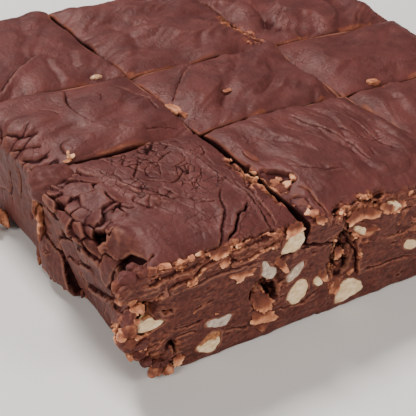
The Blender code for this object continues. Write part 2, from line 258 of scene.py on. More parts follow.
def rolls(points, size, seed=0, crease=0.06):
    """Rounded rolls with a crease between them, from 0 in the crease to about 1."""
    value = rough(points, size, seed)
    return np.sqrt(value * value + crease * crease) - crease


def layered(points, size, seed=0, layers=3):
    total = np.zeros(len(points))
    for layer in range(layers):
        total += rough(points, np.asarray(size, float) / 2 ** layer, seed + layer) / 2 ** layer
    return total


def blocks(points, size, seed=0):
    """Cells about one size across: how far each point is from its cell's middle and from the
    cell's wall, in sizes, and a number from 0 to 1 for the cell."""
    places = points / np.asarray(size, float) + seed * 9.1
    cells = np.floor(places).astype(int)
    first = np.full(len(points), 9.0)
    second = np.full(len(points), 9.0)
    which = np.zeros(len(points), int)
    for step in AROUND:
        code = shuffled(cells + step)
        away = length_of(cells + step + SPOTS[code] - places)
        nearer = away < first
        second = np.where(nearer, first, np.minimum(second, away))
        first = np.where(nearer, away, first)
        which = np.where(nearer, code, which)
    return first, (second - first) / 2, which / 255.0


# ---------------------------------------------------------------- the slab's form, as in the source

def tear(y, z):
    torn = ease((TEAR_TOP - z) / (TEAR_TOP - TEAR_BOTTOM))
    return TEAR_SHIFT * torn * (1.0 - ease(y / TEAR_DEPTH))


def column_cut(index, y, z):
    shift = tear(y, z) if index == 1 else 0.0
    return COLUMN_CUTS[index] + shift + wave(index, y, z, CUT_WANDER)


def row_cut(index, x, z):
    return ROW_CUTS[index] + wave(index + 5, x, z, CUT_WANDER)


def half_gap(slots, index, along, z):
    width = KNIFE_GAP
    for slot, low, high, extra in slots:
        if slot == index:
            width = width + extra * bump(along, low, high, SLOT_ENDS) * ease((z - SLOT_FLOOR) / SLOT_TAPER)
    return width / 2


def column_gap(index, y, z):
    flat_part = bump(z, TEAR_BOTTOM, TEAR_TOP, 1.5) * (1.0 - ease(y / TEAR_DEPTH))
    flat_part = flat_part * lerp(0.15, 1.0, ease((y - 1) / 7))
    torn = TEAR_GAP * flat_part / 2 if index == 1 else 0.0
    return half_gap(COLUMN_SLOTS, index, y, z) + torn


def lean(inset, z):
    rounding = np.maximum(0.0, 1.0 - z / (2 * TIN_FOOT_ROUNDING)) ** 2
    return inset * (1.0 - z / SLAB_HEIGHT) + TIN_FOOT_ROUNDING * rounding


def left_limit(column, y, z):
    if column == 0:
        return lean(TIN_WALL_INSET, z) + np.abs(wave(31, y, z, TIN_WALL_DENTS))
    return column_cut(column, y, z) + column_gap(column, y, z)


def right_limit(column, y, z):
    if column == len(COLUMN_NAMES) - 1:
        return SLAB_LENGTH - np.abs(wave(32, y, z, END_ROUGHNESS))
    return column_cut(column + 1, y, z) - column_gap(column + 1, y, z)


def front_hollow(x, z):
    depth = 0.0
    for centre_x, centre_z, half_width, half_height, deepest in FRONT_HOLLOWS:
        away = np.hypot((x - centre_x) / half_width, (z - centre_z) / half_height)
        depth = depth + deepest * ease(1.6 - away)
    return depth


def front_limit(row, x, z):
    if row == 0:
        roughness = np.abs(wave(33, x, z, FRONT_ROUGHNESS)) + front_hollow(x, z)
        return FRONT_CUT_INSET * (1.0 - z / SLAB_HEIGHT) + roughness
    return row_cut(row, x, z) + half_gap(ROW_SLOTS, row, x, z)


def back_limit(row, x, z):
    if row == len(ROW_NAMES) - 1:
        return SLAB_DEPTH - lean(BACK_WALL_INSET, z)
    return row_cut(row + 1, x, z) - half_gap(ROW_SLOTS, row + 1, x, z)


def edge_drop(share, low_drop, high_drop):
    low = low_drop * np.maximum(0.0, 1.0 - 2.0 * share) ** SOFT_POWER
    return low + high_drop * np.maximum(0.0, 2.0 * share - 1.0) ** CRISP_POWER


def crest_at(y):
    """Where the near square's crest lies in X."""
    return CREST_X - CREST_SLANT * (y - CREST_START)


def crest_step(x, y):
    return CREST_STEP * ease((crest_at(y) - x) / CREST_WIDTH) * ease((y - CREST_START) / CREST_FADE)


def top_height(column, row, u, v, x, y):
    across = edge_drop(u, LEFT_DROPS[column], RIGHT_DROPS[column])
    along = edge_drop(v, FRONT_DROPS[row], BACK_DROPS[row])
    rise = PILLOW_RISE * (1.0 - (2 * u - 1) ** 4) * (1.0 - (2 * v - 1) ** 4)
    folds = wave(51, x, y, SKIN_WAVES)
    if column == 0 and row == 0:
        folds = folds - crest_step(x, y)
    return SLAB_HEIGHT + rise - np.hypot(across, along) + folds


def pushed(points, forms):
    """The move that a list of soft forms gives each point: (centre, reach each way, push)."""
    move = np.zeros_like(points)
    for centre, reach, push in forms:
        away = (points - np.array(centre)) / np.array(reach)
        move += np.array(push) * np.exp(-(away * away).sum(1))[:, None]
    return move


# ---------------------------------------------------------------- meshes as points

def added(maker, name, **settings):
    """A new object of a plain shape, from one of Blender's own makers."""
    for obj in bpy.context.selected_objects:
        obj.select_set(False)
    maker(**settings)
    piece = bpy.context.object
    piece.name = name
    return piece


def linked(name, data):
    """A new object in the scene that holds the given mesh, light or camera."""
    obj = bpy.data.objects.new(name, data)
    bpy.context.scene.collection.objects.link(obj)
    return obj


def joined(pieces, name):
    """The pieces as one. The last one made has to be the active one."""
    for piece in pieces:
        piece.select_set(True)
    bpy.ops.object.join()
    whole = bpy.context.object
    whole.name = name
    return whole


def vectors_from(holder, field, count):
    values = np.empty(count * 3, np.float32)
    holder.foreach_get(field, values)
    return values.reshape(-1, 3).astype(float)


def points_of(mesh):
    return vectors_from(mesh.vertices, "co", len(mesh.vertices))


def normals_of(mesh):
    return vectors_from(mesh.vertex_normals, "vector", len(mesh.vertices))


def place_points(mesh, points):
    mesh.vertices.foreach_set("co", points.astype(np.float32).ravel())
    mesh.update()


ATTRIBUTE_KINDS = {1: ("FLOAT", "value"), 3: ("FLOAT_VECTOR", "vector"), 4: ("FLOAT_COLOR", "color")}


def store(mesh, label, values):
    """Stores a number, a vector or a colour for each point of a mesh."""
    values = np.asarray(values, np.float32)
    kind, field = ATTRIBUTE_KINDS[values.size // len(mesh.vertices)]
    mesh.attributes.new(label, kind, "POINT").data.foreach_set(field, values.ravel())


def taken(mesh, label):
    """The number stored for each point of a mesh, which is taken off the mesh."""
    values = np.empty(len(mesh.vertices), np.float32)
    mesh.attributes[label].data.foreach_get("value", values)
    mesh.attributes.remove(mesh.attributes[label])
    return values


def to_world(points):
    return (points + SLAB_CORNER) * MM


def inside_box(points):
    return np.clip(points, BOX_LOW + BOX_MARGIN, BOX_HIGH - BOX_MARGIN)


def cut_edges(cuts):
    """Cuts the active piece: for each (axis, count), every edge along that axis into count pieces."""
    bpy.ops.object.mode_set(mode="EDIT")
    bpy.ops.mesh.select_mode(type="EDGE")
    for axis, count in cuts:
        mesh = bmesh.from_edit_mesh(bpy.context.object.data)
        for edge in mesh.edges:
            step = edge.verts[0].co - edge.verts[1].co
            edge.select_set(abs(step[axis]) > max(abs(step[other]) for other in range(3) if other != axis))
        bmesh.update_edit_mesh(bpy.context.object.data)
        bpy.ops.mesh.subdivide(number_cuts=count - 1)
    bpy.ops.object.mode_set(mode="OBJECT")


# A grid is cut in two rounds, the second of them into this many.
LAST_CUTS = 12


def gridded_cube(name, counts):
    """A cube from 0 to 1 each way, cut into a grid of about counts squares along X, Y and Z."""
    piece = added(bpy.ops.mesh.primitive_cube_add, name, size=1.0, location=(0.5, 0.5, 0.5))
    bpy.ops.object.transform_apply(location=True)
    coarse = [max(2, round(float(count) / LAST_CUTS)) for count in counts]
    cut_edges([(axis, count) for axis in range(3) for count in (coarse[axis], LAST_CUTS)])
    return piece


def apply_modifiers(piece):
    bpy.context.view_layer.objects.active = piece
    for modifier in list(piece.modifiers):
        bpy.ops.object.modifier_apply(modifier=modifier.name)


# ---------------------------------------------------------------- strokes: creases, cracks and ledges

def smooth_path(points, step=0.6):
    """A smooth curve through the points, as many short straight steps."""
    p = np.array(points, float)
    p = np.vstack([2 * p[0] - p[1], p, 2 * p[-1] - p[-2]])
    bits = []
    for a, b, c, d in zip(p, p[1:], p[2:], p[3:]):
        count = max(2, int(np.hypot(*(c - b)) / step))
        t = (np.arange(count) / count)[:, None]
        bits.append(0.5 * (2 * b + (c - a) * t + (2 * a - 5 * b + 4 * c - d) * t ** 2
                           + (3 * b - a - 3 * c + d) * t ** 3))
    return np.vstack([*bits, p[-2:-1]])


def from_path(flat, path):
    """How far each flat point is from a path, on which side (1 left, -1 right), and how far along."""
    starts, steps = path[:-1], np.diff(path, axis=0)
    rel = flat[:, None, :] - starts[None]
    share = np.clip((rel * steps).sum(-1) / (steps * steps).sum(-1), 0.0, 1.0)
    gap = rel - share[..., None] * steps
    away = (gap * gap).sum(-1)
    nearest = away.argmin(1)
    every = np.arange(len(flat))
    step, beside = steps[nearest], rel[every, nearest]
    side = np.sign(step[:, 0] * beside[:, 1] - step[:, 1] * beside[:, 0])
    return np.sqrt(away[every, nearest]), side, (nearest + share[every, nearest]) / len(steps)


# The share of a stroke over which it fades in and out at its ends.
STROKE_ENDS = 0.14


def stroke(flat, mask, points, reach, wobble=0.35):
    """The points near a stroke, with how far each is from it, its side and its fading ends."""
    path = smooth_path(points)
    low, high = path.min(0) - reach, path.max(0) + reach
    near = np.flatnonzero((flat > low).all(1) & (flat < high).all(1) & (mask > 0.05))
    spots = flat[near]
    deep = with_zero(spots)
    for size, share in ((2.6, 1.0), (0.9, 0.6)):
        spots = spots + share * wobble * shaken(deep, size, (3, 8))
    away, side, along = from_path(spots, path)
    ends = ease(along / STROKE_ENDS) * ease((1 - along) / STROKE_ENDS)
    return near, away, side, ends * mask[near]


# All the points of a surface.
EVERYWHERE = slice(None)


class Surface:
    """One piece's points while they are shaped, which way they face, what finish they have and where shade
    is painted on them.
    """

    def __init__(self, piece, points):
        self.piece = piece
        self.points = points
        self.torn = np.zeros(len(points))
        self.painted_shade = np.zeros(len(points))
        self.crazed = np.zeros(len(points))
        self.refresh()

    def refresh(self):
        place_points(self.piece.data, self.points)
        self.normals = normals_of(self.piece.data)

    def raise_by(self, heights, limit=4.0):
        self.points = self.points + self.normals * np.clip(heights, -limit, limit)[:, None]
        self.refresh()

    def move_by(self, moves):
        self.points = self.points + moves
        self.refresh()

    # Paints shade into the colour where shade falls: in cracks, grooves, pores and hollows.
    def paint_shade(self, where, amount):
        self.painted_shade[where] = np.maximum(self.painted_shade[where], amount)

    def tear_at(self, where, amount):
        self.torn[where] = np.maximum(self.torn[where], amount)


def crease(surface, flat, mask, depth, width, points, torn=0.0):
    """A crack whose lips roll in to it. It is wider and narrower along its way."""
    near, away, _, ends = stroke(flat, mask, points, 8 * width + 0.5)
    width = width * (0.75 + 0.45 * rough(with_zero(flat[near]), 3.0, 14))
    lips = np.exp(-away / (2.0 * width))
    # Painted shade along the crack's floor.
    surface.paint_shade(near, min(1.0, 0.5 + 0.5 * depth) * ends * bell(away / (0.8 * width)))
    surface.tear_at(near, torn * ends * bell((away - 1.6 * width) / width))
    return near, -depth * ends * (0.85 * bell(away / width) + 0.2 * lips)


def ledge(surface, flat, mask, height, reach, points, torn=0.0):
    """A plate's edge: the ground left of the stroke stands higher, and falls off from there."""
    near, away, side, ends = stroke(flat, mask, points, 2.5 * reach)
    signed = away * side
    step = ease(0.5 + signed / 0.5)
    raised = step * bell(np.maximum(signed, 0) / reach)
    sunk = (1 - step) * bell(np.maximum(-signed, 0) / (0.35 * reach))
    # Painted shadow just below the step, on the lower side.
    surface.paint_shade(near, min(0.9, 0.35 + 0.8 * height) * ends * bell((signed + 0.32) / 0.26))
    broken = ease(rough(surface.points[near], 2.8, 15) * 2.6 + 0.35)
    surface.tear_at(near, torn * ends * broken * bell((signed - 0.25) / 0.35))
    return near, height * ends * (raised - 0.35 * sunk)


def fold(surface, flat, mask, height, reach, points):
    """A soft fold: the skin rises to the left of the stroke, and dips along it."""
    near, away, side, ends = stroke(flat, mask, points, 3.5 * reach, 0.4)
    signed = away * side
    past_crown = signed - 0.9 * reach
    crown = bell(past_crown / np.where(signed > 0.9 * reach, 1.6 * reach, 0.55 * reach))
    dip = bell((signed + 0.1 * reach) / (0.32 * reach))
    # Painted shade in the dip.
    surface.paint_shade(near, 0.15 * ends * bell((signed + 0.1 * reach) / (0.22 * reach)))
    return near, 0.7 * height * ends * (crown - 0.4 * dip)


def pit(surface, flat, mask, depth, soft, points, torn=0.0):
    """A place where a piece broke out, whose outline's corners are given: a rough hole with painted shade
    in it.
    """
    middle = np.mean(points, axis=0)
    rel = flat - middle
    near = np.flatnonzero((length_of(rel) < 1.5 * length_of(points - middle).max()) & (mask > 0.05))
    deep = surface.points[near]
    rel = rel[near] + 0.5 * shaken(deep, 1.8, (92, 93))
    away = reach_at(points - middle, np.arctan2(rel[:, 1], rel[:, 0])) - length_of(rel)
    inside = ease(away / soft + 0.5) * mask[near]
    steps = blocks(deep, (2.2, 2.2, 1.4), 94)[2]
    # Painted shade in the hole.
    surface.paint_shade(near, min(1.0, 0.45 * depth) * inside * (0.4 + 0.6 * steps))
    surface.tear_at(near, torn * inside * ease(1.0 - 2.2 * steps))
    uneven = ease(2.5 * rough(deep, 2.6, 95) - 0.2)
    surface.tear_at(near, 0.45 * torn * uneven * mask[near] * bell((away + 0.3) / 0.5))
    return near, -depth * inside * (0.35 + 0.9 * steps)


STROKE_MAKERS = {"crease": crease, "ledge": ledge, "fold": fold, "pit": pit}


def draw(surface, flat, mask, strokes):
    """Raises a surface by a list of strokes on its flat places."""
    heights = np.zeros(len(flat))
    for kind, *sizes_and_points in strokes:
        near, raised = STROKE_MAKERS[kind](surface, flat, mask, *sizes_and_points)
        heights[near] += raised
    surface.raise_by(heights)


# ---------------------------------------------------------------- the squares of fudge

TOP, FRONT, BACK, LEFT, RIGHT = "top", "front", "back", "left", "right"


# The height at which the left wall is unrolled from the top.
UNROLL_HEIGHT = 35.0


def flat_places(points, face):
    """A face's own flat coordinates: X and Y on top, X and Z in front. The left wall is unrolled, so
    that it goes on from the top: how far across, less how far down below the rim, and Y."""
    x, y, z = points.T
    if face == FRONT:
        return np.column_stack([x, z])
    return np.column_stack([x if face == TOP else x + np.minimum(0.0, z - UNROLL_HEIGHT), y])


# How fine each square's grid is, in millimetres, and the most triangles that it keeps.
GRID_STEPS = {(0, 0): 0.21, (1, 0): 0.3, (0, 1): 0.35, (2, 0): 0.45, (1, 1): 0.45}
PLAIN_STEP = 0.6
TRIANGLE_LIMIT = 190000

# How far each kind of edge is rounded.
RIM_ROUNDING = 2.2
CUT_ROUNDING = 0.7
TOP_ROUNDING = 1.2
FRONT_ROUNDING = 1.3
BASE_ROUNDING = 0.8

# The skin of each square: the way its folds run, in degrees from X, how long and wide they are,
# how high, and how high its small wrinkles are.
SKIN_FOLDS = {
    (0, 0): (78, 16, 7, 0.22, 0.07),
    (1, 0): (84, 24, 7.5, 0.8, 0.10),
    (2, 0): (70, 26, 11, 0.8, 0.08),
    (0, 1): (20, 22, 10, 0.8, 0.08),
    (1, 1): (38, 24, 8, 1.0, 0.08),
    (2, 1): (30, 26, 12, 0.8, 0.07),
    (0, 2): (52, 24, 10, 0.9, 0.08),
    (1, 2): (20, 26, 12, 1.2, 0.07),
    (2, 2): (40, 14, 9, 1.3, 0.10),
}

# The near corner's finer forms, as in CORNER_FORMS.
NEAR_FORMS = (
    ((-3.2, 1.0, 33.6), (2.2, 2.0, 2.2), (-0.8, -0.4, 0.6)),
    ((-3.6, 0.6, 30.2), (2.0, 2.2, 2.0), (-0.9, -0.5, 0.0)),
    ((2.6, 2.0, 22.6), (3.0, 2.4, 1.8), (1.8, 2.2, 0.0)),
    ((-0.6, 2.6, 18.2), (2.4, 2.4, 1.8), (-1.0, -0.5, 0.5)),
    ((-1.0, 5.0, 13.4), (2.6, 3.6, 2.0), (-0.9, 0.0, 0.0)),
    ((12.5, 0.6, 8.6), (1.8, 2.4, 2.4), (0.0, 2.2, 0.0)),
    ((4.5, 2.0, 8.4), (1.8, 3.0, 2.0), (1.4, 1.2, 0.0)),
    ((7.5, 46.0, 6.0), (4.0, 8.0, 7.0), (-2.4, 0.0, 0.0)),
    ((-0.8, 7.6, 31.4), (3.4, 2.8, 4.2), (4.2, 0.4, -1.0)),
    ((3.0, 14.6, 34.6), (3.2, 2.6, 2.4), (-0.6, 0.0, 1.2)),
)

# Where the cut or the torn fudge is crumbly: a zone's middle, its reach each way and how strong.
CRUMBLY_ZONES = (
    ((-2.5, 0.5, 27.0), (4.5, 4.0, 5.5), 1.0),
    ((2.0, 4.0, 13.0), (8.0, 9.0, 7.0), 0.75),
    ((8.0, 1.0, 6.0), (9.0, 4.0, 5.0), 0.6),
    ((8.0, 0.0, 33.6), (10.0, 2.4, 2.2), 0.9),
    ((22.0, 0.0, 33.0), (12.0, 2.4, 2.2), 0.7),
    ((38.0, 0.0, 32.0), (8.0, 2.4, 2.6), 0.6),
    ((40.0, 1.0, 16.0), (6.0, 4.0, 7.0), 0.7),
    ((65.0, 1.5, 18.0), (6.5, 5.0, 10.0), 0.9),
    ((66.0, 1.0, 32.5), (11.0, 4.0, 3.5), 0.8),
    ((87.0, 0.0, 22.0), (8.0, 4.0, 8.0), 0.5),
    ((104.0, 1.0, 20.0), (7.0, 4.0, 9.0), 0.8),
    ((4.0, 46.0, 18.0), (5.0, 3.2, 18.0), 0.3),
    ((50.0, 16.0, 28.0), (1.6, 14.0, 4.0), 0.5),
    ((97.0, 92.0, 34.0), (4.5, 14.0, 4.0), 0.7),
    ((150.0, 60.0, 18.0), (4.0, 60.0, 16.0), 0.45),
)

# Strokes in a face's flat places: the kind, how deep or high, how wide or far it reaches, the
# points that it runs through, and how torn it is.
#
# Lines on the near square's top that two strokes follow.
LONG_FOLD = ((24.6, 11), (22.1, 16.1), (18.4, 23), (15.6, 27.4), (14.3, 31.1), (12.8, 34.3),
             (11.8, 38), (9.3, 44.9))
RIGHT_RIDGE = ((37, -0.5), (37.8, 7.4), (38.7, 13), (38.4, 18), (38, 24.3), (37.8, 30.5),
               (36.5, 36.8), (34, 42))
LONG_CRACK = ((34.6, 17.4), (31.5, 14.9), (29, 9.3), (25.3, 4.9), (21.8, 0.5))
DEEP_CRACK = ((37.1, 10.5), (34, 8), (31.5, 7.1), (29, 4.3), (24.6, 1.8))
NEAR_TOP = (
    ("crease", 0.35, 0.22, LONG_FOLD),
    ("ledge", 0.7, 2.6, LONG_FOLD[1:]),
    ("ledge", 0.5, 1.2, RIGHT_RIDGE),
    ("crease", 0.6, 0.26, RIGHT_RIDGE),
    ("crease", 0.7, 0.2, LONG_CRACK),
    ("ledge", 0.4, 1.4, LONG_CRACK[::-1]),
    ("crease", 1.1, 0.28, DEEP_CRACK),
    ("ledge", 0.5, 1.2, DEEP_CRACK[::-1], 0.25),
    ("crease", 0.6, 0.28, ((45.3, 30.5), (44, 21.8), (41.5, 16.8), (40.3, 10.5), (39.4, 1.1)), 0.3),
    ("crease", 0.6, 0.26, ((39.6, 20), (39.4, 12), (39.8, 6), (38.6, -0.5))),
    ("ledge", 0.6, 1.6, ((49, 31), (46.6, 29), (45.2, 25.5), (44.2, 21), (44.4, 18.6),
     (49, 18.2)), 0.8),
    ("ledge", 0.5, 1.3, ((49, 15.8), (46.4, 15.2), (43.6, 16.6), (41.6, 15.6), (41.2, 12)), 0.7),
    ("crease", 0.9, 0.45, ((42, 17.8), (44.4, 18), (47, 17.2), (49, 17.6)), 0.5),
    ("crease", 0.9, 0.5, ((43.6, 9.2), (44.2, 8.2), (44.4, 7.0)), 0.5),
    ("crease", 0.5, 0.26, ((25.3, 17.4), (25.9, 15.5), (28, 13.9), (30.3, 13.6))),
    ("crease", 0.7, 0.3, ((19.6, 28.6), (21.9, 26.8), (25.3, 24.9), (27.2, 25.6), (29, 26.8),
     (32, 29))),
    ("crease", 0.6, 0.3, ((23.4, 42.4), (22.1, 40.5), (20.3, 39.6))),
    ("crease", 0.6, 0.26, ((24, 37.1), (21.5, 34.3), (19, 31.4), (17.8, 29.9))),
    ("crease", 0.6, 0.26, ((28.1, 34.6), (30.3, 36.4), (34, 36.8))),
    ("crease", 0.5, 0.24, ((21.5, 29.9), (23.4, 33), (25.3, 34))),
    ("crease", 0.5, 0.24, ((29, 30.5), (31.5, 31.1), (34.6, 32.4), (35.3, 35.5))),
    ("crease", 0.5, 0.24, ((26.5, 29.3), (28.1, 27.4), (30.9, 26.8), (33.4, 29.3), (34.6, 29.9))),
    ("crease", 0.4, 0.24, ((29.6, 18.6), (29.3, 21.1), (31.5, 23.6), (34, 24.3))),
    ("crease", 0.5, 0.26, ((42.4, 37.4), (41.5, 34.3), (39, 32.4))),
    ("crease", 0.8, 0.32, ((2.8, 2.4), (5.3, 4.3), (7.4, 4.9)), 0.3),
    ("crease", 0.6, 0.3, ((6.5, 22), (9, 23), (10.9, 21.1), (12.8, 20.5))),
    ("crease", 0.5, 0.3, ((14.6, 24.6), (13.4, 22.4), (14.6, 19.4), (16.6, 18.2))),
)
# On the front cut of the near square and, since the first cut wanders, of the centre one too.
NEAR_FRONT = (
    ("ledge", 0.5, 2.6, ((18, 32.4), (14, 31.2), (9, 31.4), (4, 31.0), (0, 31.6)), 0.6),
    ("ledge", 0.6, 2.8, ((24, 31.8), (21, 30.8), (17.4, 30.1), (15, 28.2), (12, 28.5),
     (8, 27.4)), 0.9),
    ("ledge", 0.5, 2.6, ((40.5, 29.6), (37, 30.4), (34, 29.7), (31.4, 28.4), (28.6, 28.8),
     (26, 29.9), (24, 31)), 0.9),
    ("crease", 0.8, 0.35, ((25.4, 33.4), (28, 33.2), (30, 34.1), (33, 34.2)), 0.8),
    ("crease", 0.8, 0.35, ((33.6, 33.6), (36, 34), (38.6, 33.8)), 0.8),
    ("ledge", 0.4, 2.4, ((40, 35), (36, 32.6), (30, 32.4), (25, 32)), 0.5),
    ("crease", 2.6, 0.6, ((7.2, 27.8), (6.2, 26), (5.7, 23.8), (5.3, 21.6), (4.0, 19.6),
     (2.4, 18.4)), 0.7),
    ("ledge", 0.7, 2.2, ((5.6, 20.6), (6.2, 23.4), (7.0, 25.6), (9.4, 26.6)), 0.7),
    ("ledge", 0.3, 2.4, ((36, 26.2), (28, 27.0), (20, 26.4), (12, 26.6))),
    ("pit", 1.6, 0.6, ((35.4, 18.2), (38, 19.2), (41.6, 18), (43.6, 15), (42.4, 11),
     (40.4, 14.6), (37, 16.4)), 0.3),
    ("pit", 1.3, 0.5, ((8.4, 21.2), (11.6, 20.8), (12.2, 19.6), (9.6, 19.4)), 0.4),
    ("crease", 0.9, 0.4, ((9.6, 20.6), (10.6, 20.2), (11.4, 20.4)), 0.5),
    ("crease", 0.4, 0.35, ((17, 18.2), (20.4, 19.2), (23, 19.6)), 0.3),
    ("crease", 1.6, 0.6, ((35.4, 17.6), (37.4, 18.2), (39.4, 17.2), (42.4, 17.4)), 0.3),
    ("crease", 1.6, 0.5, ((35.0, 13.8), (36, 15.4), (38.6, 16.2), (41, 14.6), (42.6, 12.2)), 0.4),
    ("crease", 1.6, 0.5, ((42.6, 11.4), (40.6, 9.6), (42, 9.2))),
    ("crease", 1.3, 0.5, ((41.4, 25.2), (43.4, 25.0), (45.4, 25.0))),
    ("crease", 0.5, 0.35, ((47, 25.8), (51, 26.2), (55, 25.2), (59, 26.6))),
    ("crease", 1.6, 0.6, ((11.6, 10), (12.8, 9.2), (13.6, 8.4), (14.6, 6.6), (14.8, 4.8)), 0.4),
    ("crease", 0.4, 0.4, ((12, 14.6), (17, 13.8), (21, 13.4))),
    ("crease", 0.4, 0.35, ((13, 11.4), (17, 11.6), (20, 10.6)), 0.3),
    ("crease", 0.4, 0.4, ((44, 8.8), (48, 7.2), (52, 6.8), (56, 9.2), (60, 9.8))),
    ("crease", 0.4, 0.4, ((28, 8.2), (32, 6.6), (36, 5.6))),
)
NEAR_LEFT = (
    ("crease", 2.0, 0.55, ((-8.4, 35.2), (-11.7, 38.1), (-13.8, 39.7), (-16.4, 39.2),
     (-19.6, 37.4))),
    ("crease", 1.0, 1.0, ((-17.6, 37.8), (-21.5, 36.8), (-25.0, 35.5), (-29.0, 34.0))),
    ("ledge", 0.7, 2.2, ((-5.9, 15.4), (-7.3, 20.5), (-9.4, 29.1)), 0.15),
    ("ledge", 0.8, 2.2, ((-13.4, 12.3), (-15.7, 20.8), (-17.5, 27.1)), 0.2),
    ("ledge", 0.5, 1.4, ((-11.0, 22.0), (-12.2, 26.5), (-12.6, 30.5)), 0.2),
    ("crease", 1.6, 0.6, ((-16.4, 31.2), (-17.7, 29.9), (-18.8, 28.6))),
    ("crease", 1.4, 0.55, ((-5.0, 12.0), (-8.6, 10.6), (-12.0, 9.6), (-15.4, 9.4))),
    ("crease", 1.6, 0.6, ((-3.4, 6.4), (-6.2, 6.6), (-9.2, 6.0), (-12.6, 4.6))),
    ("ledge", 0.3, 1.6, ((-14, 16), (-18, 19), (-21.5, 21.5))),
)
MIDDLE_LEFT = (
    ("crease", 1.2, 0.9, ((-4.5, 50.5), (-8.5, 51.6), (-12.0, 53.0), (-16.0, 55.6))),
    ("crease", 0.6, 0.6, ((-3, 57), (-8, 57.6), (-13, 59.4))),
    ("crease", 0.4, 0.5, ((-6, 62), (-12, 64), (-18, 67))),
    ("ledge", 0.4, 2.0, ((-16, 74), (-14, 68), (-15, 62), (-18, 57))),
)
CENTRE_TOP = (
    ("crease", 0.4, 0.3, ((74, 42), (75.4, 34), (77.6, 27), (78.6, 19), (78, 10))),
    ("crease", 0.4, 0.3, ((79, 43), (80.4, 36), (81.6, 28), (82.4, 20), (81.4, 12))),
    ("crease", 0.45, 0.3, ((86, 40), (87, 32), (88.4, 26), (88, 18), (89, 12))),
    ("crease", 0.35, 0.28, ((66, 41), (69, 36), (71.6, 30), (73, 23))),
    ("crease", 0.35, 0.28, ((56, 20), (60, 15.6), (64, 13), (69, 12.4))),
    ("crease", 0.35, 0.28, ((84, 24), (87, 21), (91, 20))),
    ("pit", 1.4, 0.7, ((49.5, 22.6), (51.4, 22.8), (53, 21), (54.2, 17.4), (55.6, 15.6),
     (55, 13.6), (52.6, 14.2), (51.6, 12), (49.5, 12)), 0.9),
    ("pit", 0.5, 0.5, ((49, 9.8), (51.6, 10.4), (53, 7.4), (52.4, 3), (49, 1.5)), 1.0),
    ("crease", 0.8, 0.3, ((53.6, 12.6), (55, 9), (54.6, 5), (55.4, 1)), 0.5),
    ("fold", 0.77, 2.2, ((58, 38), (60, 34), (63, 29.6), (66, 25), (67, 20), (66.4, 14))),
    ("fold", 0.88, 2.2, ((82, 43), (83.4, 37), (83, 32), (80.6, 26), (78, 20), (77.6, 14))),
    ("fold", 0.66, 2.2, ((89, 42), (91, 36), (92, 30), (92.4, 24), (91, 17))),
    ("fold", 0.66, 2.2, ((69, 24), (69.6, 18), (69.2, 12), (70, 5))),
    ("fold", 0.66, 2.2, ((76, 24), (76.8, 18), (76.2, 12), (77, 5))),
    ("fold", 0.66, 2.2, ((74, 7), (77, 6), (80, 5.4), (84, 5.6), (88, 7), (91, 8.4))),
    ("fold", 0.55, 2.2, ((60, 12), (62, 8), (61.4, 4), (62.6, 1))),
    ("fold", 0.55, 2.2, ((72, 40), (74, 34), (73, 28))),
    ("fold", 0.55, 2.2, ((62, 20), (64.4, 17), (64, 11))),
)
CENTRE_FRONT = (
    ("pit", 1.3, 0.7, ((60.4, 26.6), (64, 28), (69, 26.6), (69.6, 22), (68.4, 17), (67.6, 11),
     (63.6, 9.6), (61, 14), (60.6, 20)), 0.25),
    ("crease", 1.8, 0.5, ((59.8, 27.4), (59.3, 22), (59.9, 17), (60.6, 12.6)), 0.6),
    ("crease", 2.2, 0.8, ((56, 33.2), (59, 33.5), (61, 34.6), (64, 34.9), (67, 33.8), (69, 32.7),
     (71, 31.9), (72.6, 30.8)), 0.5),
    ("crease", 1.4, 0.5, ((71, 34), (72.6, 33.6), (74.4, 33.8)), 0.6),
    ("crease", 1.2, 0.45, ((71, 28.9), (72.6, 28.6)), 0.4),
    ("crease", 2.0, 1.1, ((60.6, 27.8), (63.4, 28.2), (66, 27.4), (68.4, 26.2)), 0.4),
    ("ledge", 1.1, 1.6, ((61.6, 27), (64.6, 23.6), (67.6, 20), (69.6, 16.6), (70.6, 12),
     (71, 8.6)), 0.5),
    ("crease", 1.0, 0.5, ((60.6, 20), (63, 15), (65, 12)), 0.5),
    ("crease", 0.9, 0.6, ((64, 26), (63.4, 21), (66, 16), (68, 12))),
    ("crease", 1.2, 0.4, ((78, 19.4), (80.4, 19.1), (83, 19.6)), 0.4),
    ("crease", 1.4, 0.8, ((86.6, 21), (89, 20), (91, 20.6)), 0.5),
    ("crease", 0.5, 0.4, ((78, 28), (84, 27), (90, 28), (96, 26.6)), 0.3),
    ("ledge", 0.6, 1.8, ((97, 31.6), (92, 31), (86, 31.8), (82, 31)), 0.6),
    ("crease", 0.4, 0.4, ((72, 11), (78, 9.8), (84, 10.4), (92, 9)), 0.3),
)
RIGHT_FRONT = (
    ("crease", 1.2, 0.6, ((103.4, 29), (104.4, 24), (103.6, 18), (104.6, 13)), 0.7),
    ("ledge", 0.8, 1.6, ((118, 31.4), (112, 30.8), (106, 31.6), (101, 31)), 0.8),
    ("crease", 0.7, 0.5, ((108, 20), (113, 19), (118, 20)), 0.5),
    ("ledge", 0.7, 1.4, ((142, 29.6), (136, 30.4), (130, 29.8), (124, 30.8)), 0.7),
    ("crease", 0.7, 0.5, ((126, 8), (131, 7.4), (136, 10), (141, 10.6)), 0.4),
    ("crease", 0.8, 0.5, ((146, 24), (144, 19), (146, 14)), 0.6),
    ("crease", 0.5, 0.4, ((110, 14), (115, 13.6), (119, 14.4)), 0.4),
)
